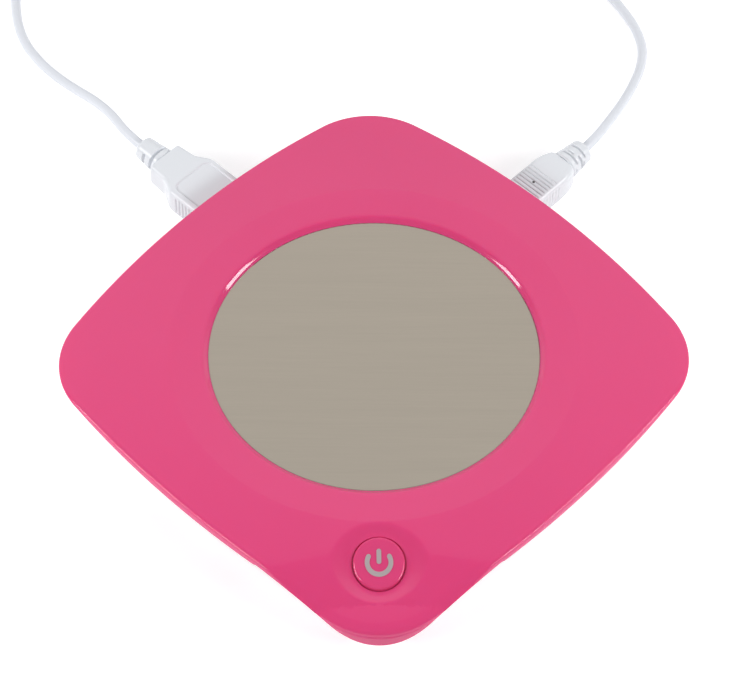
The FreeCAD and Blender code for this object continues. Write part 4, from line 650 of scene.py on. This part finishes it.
def make_cover():
    """The cover as one fine mesh: its top, then the rim, the plate's bore and the button's hole."""
    edge, outward = plan_outline()
    flat, tris = top_sheet(edge, outward)
    verts = [raised(flat, top(flat[:, 0], flat[:, 1]))]
    normals = [grad_normals(flat)]
    faces = [tuple(t) for t in tris]
    total = len(flat)
    strips = [rim_strip(edge, outward)]
    for rows, row_normals in (lip_strip(), hole_strip()):
        strips.append(([row[::-1] for row in rows], [normal[::-1] for normal in row_normals]))
    for rows, row_normals in strips:
        size = len(rows[0])
        verts.extend(rows)
        normals.extend(row_normals)
        for r in range(len(rows) - 1):
            near, far = total + r * size, total + (r + 1) * size
            for i in range(size):
                j = (i + 1) % size
                faces.append((near + i, far + i, far + j, near + j))
        total += size * len(rows)
    return mesh_piece("cover", np.concatenate(verts), faces, np.concatenate(normals), "cover_plastic")


def mesh_piece(name, verts, faces, normals, slot):
    """An object from places in millimetres, with its own normals where they are given."""
    mesh = bpy.data.meshes.new(name)
    places = [tuple(v * MM) for v in np.asarray(verts, float)]
    mesh.from_pydata(places, [], [tuple(map(int, f)) for f in faces])
    mesh.validate()
    mesh.update()
    mesh.polygons.foreach_set("use_smooth", [True] * len(mesh.polygons))
    if normals is not None and len(normals) == len(mesh.vertices):
        mesh.normals_split_custom_set_from_vertices([tuple(n) for n in normals])
    mesh.materials.append(LOOKS[slot])
    piece = bpy.data.objects.new(name, mesh)
    bpy.context.scene.collection.objects.link(piece)
    return piece


# Plugs

# Each plug's axis: its place sideways and its height. Both bodies start inside the cover's wall.
LARGE_AXIS, SMALL_AXIS = (10.8, 8.7), (11.6, 7.175)
PLUG_START = 58.25
LARGE_ROUND, SMALL_ROUND = 1.4, 1.6
# Half the small grip's height, and the place and radius of the dot on it
SMALL_HIGH = 3.9
DOT_PLACE, DOT_R = (71.29, 11.62), 0.34


def round_box(half_wide, half_high, corner, across, side_steps, corner_steps=9):
    """Places round a rounded rectangle, from the right side's lower end, and their outward directions."""
    flat_x, flat_z = half_wide - corner, half_high - corner
    quarter = np.linspace(0, np.pi / 2, corner_steps + 2)[1:-1]
    side = np.linspace(-1, 1, side_steps)
    places, outward = [], []

    def run(x, z, nx, nz):
        places.append(np.column_stack([x, z]))
        outward.append(np.column_stack([nx, nz]))

    def bend(centre_x, centre_z, start):
        turn = quarter + start
        run(centre_x + corner * np.cos(turn), centre_z + corner * np.sin(turn), np.cos(turn), np.sin(turn))

    ones, none = np.ones_like(side), np.zeros_like(side)
    run(half_wide * ones, side * flat_z, ones, none)
    bend(flat_x, flat_z, 0)
    ones_top, none_top = np.ones_like(across), np.zeros_like(across)
    run(-across * flat_x, half_high * ones_top, none_top, ones_top)
    bend(-flat_x, flat_z, np.pi / 2)
    run(-half_wide * ones, -side * flat_z, -ones, none)
    bend(-flat_x, -flat_z, np.pi)
    run(across * flat_x, -half_high * ones_top, none_top, -ones_top)
    bend(flat_x, -flat_z, 1.5 * np.pi)
    return np.concatenate(places), np.concatenate(outward)


def ridge(value, middle, width):
    """A soft bump of height 1 about middle, width wide at its foot."""
    share = np.clip(np.abs(value - middle) / (width / 2), 0, 1)
    return (1 - share * share) ** 2


def ring_at(plan, along):
    """Flat places across a plug as one ring: across, along, up."""
    return np.column_stack([plan[:, 0], np.full(len(plan), along), plan[:, 1]])


def round_plan(radius, angles):
    """Flat places round a circle, with one radius or one for each angle."""
    return np.column_stack([radius * np.cos(angles), radius * np.sin(angles)])


def grip_end(half_wide, half_high, corner, across, side_steps, end, edge):
    """Rings round the edge of a grip's far end."""
    rows = []
    for turn in (22, 45, 68, 90):
        angle = math.radians(turn)
        shrink = edge * (1 - math.cos(angle))
        plan = round_box(half_wide - shrink, half_high - shrink, corner, across, side_steps)[0]
        rows.append(ring_at(plan, end - edge * (1 - math.sin(angle))))
    return rows


def closed_rows(name, rows, place, slot):
    """A closed solid through rings of places, each moved to its place on the object, with flat ends."""
    verts = np.array([place(row) for row in rows])
    count, size = verts.shape[:2]
    faces = []
    for r in range(count - 1):
        for i in range(size):
            j = (i + 1) % size
            faces.append((r * size + i, r * size + j, (r + 1) * size + j, (r + 1) * size + i))
    faces.append(tuple(range(size)))
    faces.append(tuple((count - 1) * size + i for i in range(size)))
    piece = mesh_piece(name, verts.reshape(-1, 3), faces, None, slot)
    work = bmesh.new()
    work.from_mesh(piece.data)
    bmesh.ops.recalc_face_normals(work, faces=work.faces)
    work.to_mesh(piece.data)
    work.free()
    piece.data.set_sharp_from_angle(angle=math.radians(50))
    return piece


def boot_rows(start, end, root, tip, slots, angles, round_end=0.7):
    """Rings of a tapered round boot. A slot is (place along, width, middle angle, half spread, depth)."""
    groove_deep, groove_wide, fade = 0.35, 1.0, math.radians(9)
    rows = []
    for along in list(np.arange(start, end - round_end, 0.12)) + [end - round_end]:
        share = (along - start) / (end - start)
        radius = root + (tip - root) * share
        radius = radius - groove_deep * ridge(along, start, groove_wide)
        cut = np.zeros_like(angles)
        for middle, width, centre, spread, depth in slots:
            off = np.abs((angles - math.radians(centre) + np.pi) % (2 * np.pi) - np.pi)
            reach = smooth_step((math.radians(spread) - off) / fade)
            cut = np.maximum(cut, depth * ridge(along, middle, width) * reach)
        rows.append(ring_at(round_plan(radius - cut, angles), along))
    last = root + (tip - root) * (end - round_end - start) / (end - start)
    for turn in (25, 50, 75, 90):
        angle = math.radians(turn)
        radius = last - round_end * (1 - math.cos(angle))
        rows.append(ring_at(round_plan(radius, angles), end - round_end * (1 - math.sin(angle))))
    return rows


def make_large_grip():
    """The large plug's grip: bare framed panels on its flats, ribbed sides, a drawn-in neck, a slotted boot."""
    full, neck, end, boot_end = 75.2, 80.8, 85.65, 93.55
    wide, drawn_in, tapered, end_wide = 7.85, 2.2, 0.35, 5.3
    high, thinned, end_high = 4.1, 0.5, 3.6
    panel_wide, panel_end, panel_round, panel_deep, panel_soft = 6.05, 76.2, 1.9, 0.32, 0.3
    rib_last, rib_pitch, rib_wide, rib_deep, rib_margin = 73.4, 1.2, 0.75, 0.35, 0.9
    edge, side_steps = 0.35, 15
    near = np.concatenate([np.linspace(-1, -0.66, 26), np.linspace(-0.64, 0.64, 30), np.linspace(0.66, 1, 26)])
    rows = []
    for along in np.concatenate([np.arange(PLUG_START, end - edge, 0.15), [end - edge]]):
        drawn = smooth_step((along - full) / (neck - full))
        late = np.clip((along - neck) / (end - neck), 0, 1)
        half_wide = wide - drawn_in * drawn - tapered * late
        half_high = high - thinned * np.clip((along - full) / (end - full), 0, 1)
        plan, outward = round_box(half_wide, half_high, LARGE_ROUND, near, side_steps)
        x, z = np.abs(plan[:, 0]), np.abs(plan[:, 1])
        on_flat = np.abs(outward[:, 1]) > 0.99
        side_off = np.maximum(x - (panel_wide - panel_round), 0)
        end_off = max(along - (panel_end - panel_round), 0)
        inside = panel_round - np.hypot(side_off, end_off)
        panel = on_flat * smooth_step((inside + panel_soft / 2) / panel_soft) * panel_deep
        on_side = np.abs(outward[:, 0]) ** 2
        ribs = sum(ridge(along, rib_last - rib_pitch * index, rib_wide) for index in range(10))
        depth = panel + on_side * ribs * rib_deep * smooth_step((half_high - rib_margin - z) / 0.5)
        rows.append(ring_at(plan - outward * depth[:, None], along))
    rows += grip_end(end_wide, end_high, LARGE_ROUND, near, side_steps, end, edge)
    angles = np.arctan2(rows[-1][:, 2], rows[-1][:, 0])
    for share in (0.4, 0.8):
        rows.append(rows[-1] * (1 - share) + ring_at(round_plan(3.45, angles), end) * share)
    slots = [(87.6, 1.15, 125, 82, 0.95), (87.6, 1.15, 305, 82, 0.95), (90.3, 1.15, 190, 52, 0.9),
             (90.3, 1.15, 10, 52, 0.9)]
    rows += boot_rows(end, boot_end, 3.8, 3.1, slots, angles)

    def place(row):
        return np.column_stack([LARGE_AXIS[0] + row[:, 0], row[:, 1], LARGE_AXIS[1] + row[:, 2]])
    return closed_rows("large_plug_grip", rows, place, "plug_plastic")


def make_small_grip():
    """The small plug's grip: cross grooves near the cover, rounded shoulders and a slotted boot."""
    full, end, boot_end = 76.4, 82.65, 90.35
    wide, narrowed, end_wide = 5.45, 1.45, 4.0
    thinned, end_high = 0.35, 3.55
    groove_last, groove_pitch, groove_wide, flat_deep, side_deep = 75.0, 1.12, 0.5, 0.24, 0.14
    edge, side_steps = 0.5, 13
    across = np.linspace(-1, 1, 25)
    rows = []
    for along in np.concatenate([np.arange(PLUG_START, end - edge, 0.12), [end - edge]]):
        share = np.clip((along - full) / (end - full), 0, 1)
        half_wide = wide - narrowed * share ** 2.2
        half_high = SMALL_HIGH - thinned * share ** 2
        plan, outward = round_box(half_wide, half_high, SMALL_ROUND, across, side_steps)
        grooves = sum(ridge(along, groove_last - groove_pitch * index, groove_wide) for index in range(12))
        on_flat, on_side = np.abs(outward[:, 1]) > 0.9, np.abs(outward[:, 0]) > 0.9
        depth = grooves * (flat_deep * on_flat + side_deep * on_side)
        rows.append(ring_at(plan - outward * depth[:, None], along))
    rows += grip_end(end_wide, end_high, SMALL_ROUND, across, side_steps, end, edge)
    angles = np.arctan2(rows[-1][:, 2], rows[-1][:, 0])
    rows.append(rows[-1] * 0.3 + ring_at(round_plan(3.6, angles), end) * 0.7)
    slots = []
    for index, along in enumerate((84.6, 86.2, 87.8)):
        turned = 90 if index % 2 else 0
        slots += [(along, 0.8, 90 + half_turn + turned, 62, 0.6) for half_turn in (0, 180)]
        slots += [(along - 0.75, 0.6, half_turn + turned, 20, 0.45) for half_turn in (0, 180)]
    rows += boot_rows(end, boot_end, 4.0, 3.15, slots, angles)

    def place(row):
        return np.column_stack([row[:, 1], SMALL_AXIS[0] + row[:, 0], SMALL_AXIS[1] + row[:, 2]])
    return closed_rows("small_plug_grip", rows, place, "plug_plastic")


def make_dot():
    """The small dark dot between the small grip's grooves."""
    rows = []
    angles = 2 * np.pi * np.arange(32) / 32
    for share, height in ((1.0, -0.3), (1.0, 0.0), (0.9, 0.03), (0.6, 0.045), (0.2, 0.05)):
        rows.append(raised(round_plan(share * DOT_R, angles), height))

    def place(row):
        return row + np.array([*DOT_PLACE, SMALL_AXIS[1] + SMALL_HIGH])
    return closed_rows("small_plug_dot", rows, place, "socket_plastic")


# Lights, floor and surroundings

# Brightness of the surroundings against the cosine of the angle to the level direction behind the object
SKY = [(0.0, 0.31), (0.2, 0.41), (0.41, 0.75), (0.6, 1.0), (0.78, 1.04), (1.0, 0.7)]
SKY_AIM = (0.723, 0.691, 0)
FLOOR_GLOW, FLOOR_HALF = 0.4, 3
# Soft lamps: power in watts, width and height in metres
LAMP_POWER, LAMP_SIZE = 4.1, (0.6, 0.15)


def make_stage():
    """A white floor and plain soft light: a wide source behind and above, darker towards the viewer."""
    mesh = bpy.data.meshes.new("floor")
    far = FLOOR_HALF
    mesh.from_pydata([(-far, -far, 0), (far, -far, 0), (far, far, 0), (-far, far, 0)], [], [(0, 1, 2, 3)])
    floor = bpy.data.objects.new("floor", mesh)
    bpy.context.scene.collection.objects.link(floor)
    shade = Shade("floor_white")
    shade.put(Roughness=0.6, Specular_IOR_Level=0.2)
    shade.put(Base_Color=linear(246, 246, 247))
    path = shade.node("ShaderNodeLightPath")
    seen = shade.node("ShaderNodeMath", operation="MAXIMUM")
    shade.link(path.outputs["Is Camera Ray"], seen.inputs[0])
    shade.link(path.outputs["Is Glossy Ray"], seen.inputs[1])
    either = shade.node("ShaderNodeMath", operation="MAXIMUM")
    shade.link(seen.outputs[0], either.inputs[0])
    shade.link(path.outputs["Is Transmission Ray"], either.inputs[1])
    glow = shade.node("ShaderNodeMath", operation="MULTIPLY", in_1=FLOOR_GLOW)
    shade.link(either.outputs[0], glow.inputs[0])
    shade.link(glow.outputs[0], shade.shader.inputs["Emission Strength"])
    shade.put(Emission_Color=(1, 1, 1, 1))
    mesh.materials.append(shade.material)

    world = bpy.data.worlds.new("studio")
    bpy.context.scene.world = world
    world.use_nodes = True
    tree = world.node_tree
    back = tree.nodes["Background"]
    spot = tree.nodes.new("ShaderNodeTexCoord")
    aim = tree.nodes.new("ShaderNodeVectorMath")
    aim.operation = "DOT_PRODUCT"
    aim.inputs[1].default_value = SKY_AIM
    tree.links.new(spot.outputs["Generated"], aim.inputs[0])
    ramp = tree.nodes.new("ShaderNodeValToRGB")
    steps = ramp.color_ramp.elements
    for place, level in SKY[1:-1]:
        steps.new(place)
    for step, (place, level) in zip(steps, SKY):
        step.position = place
        step.color = (level, level, level, 1)
    tree.links.new(aim.outputs["Value"], ramp.inputs["Fac"])
    tree.links.new(ramp.outputs["Color"], back.inputs["Color"])
    back.inputs["Strength"].default_value = 1.0


def add_lamp(name, place, size, power):
    """A wide, low soft lamp that faces the object."""
    data = bpy.data.lights.new(name, "AREA")
    data.shape = "RECTANGLE"
    data.size, data.size_y = size
    data.energy = power
    lamp = bpy.data.objects.new(name, data)
    lamp.location = place
    lamp.rotation_euler = Vector(place).to_track_quat("Z", "Y").to_euler()
    bpy.context.scene.collection.objects.link(lamp)


make_camera()
make_stage()

large_grip = make_large_grip()
small_grip = make_small_grip()
dot = make_dot()
for piece, node in ((large_grip, "a_plug_body"), (small_grip, "mini_plug_body"), (dot, None)):
    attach(piece, "housing")
    if node:
        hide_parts(node)

cord = make_cord()
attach(cord, "housing")
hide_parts("cord_left", "cord_coil", "cord_right")

cover = make_cover()
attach(cover, "housing")
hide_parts("top_cover")

add_lamp("left_soft", (-0.63, 0.35, 0.385), LAMP_SIZE, LAMP_POWER)
add_lamp("right_soft", (0.35, -0.63, 0.385), LAMP_SIZE, LAMP_POWER)

bpy.context.scene.view_settings.view_transform = "Standard"
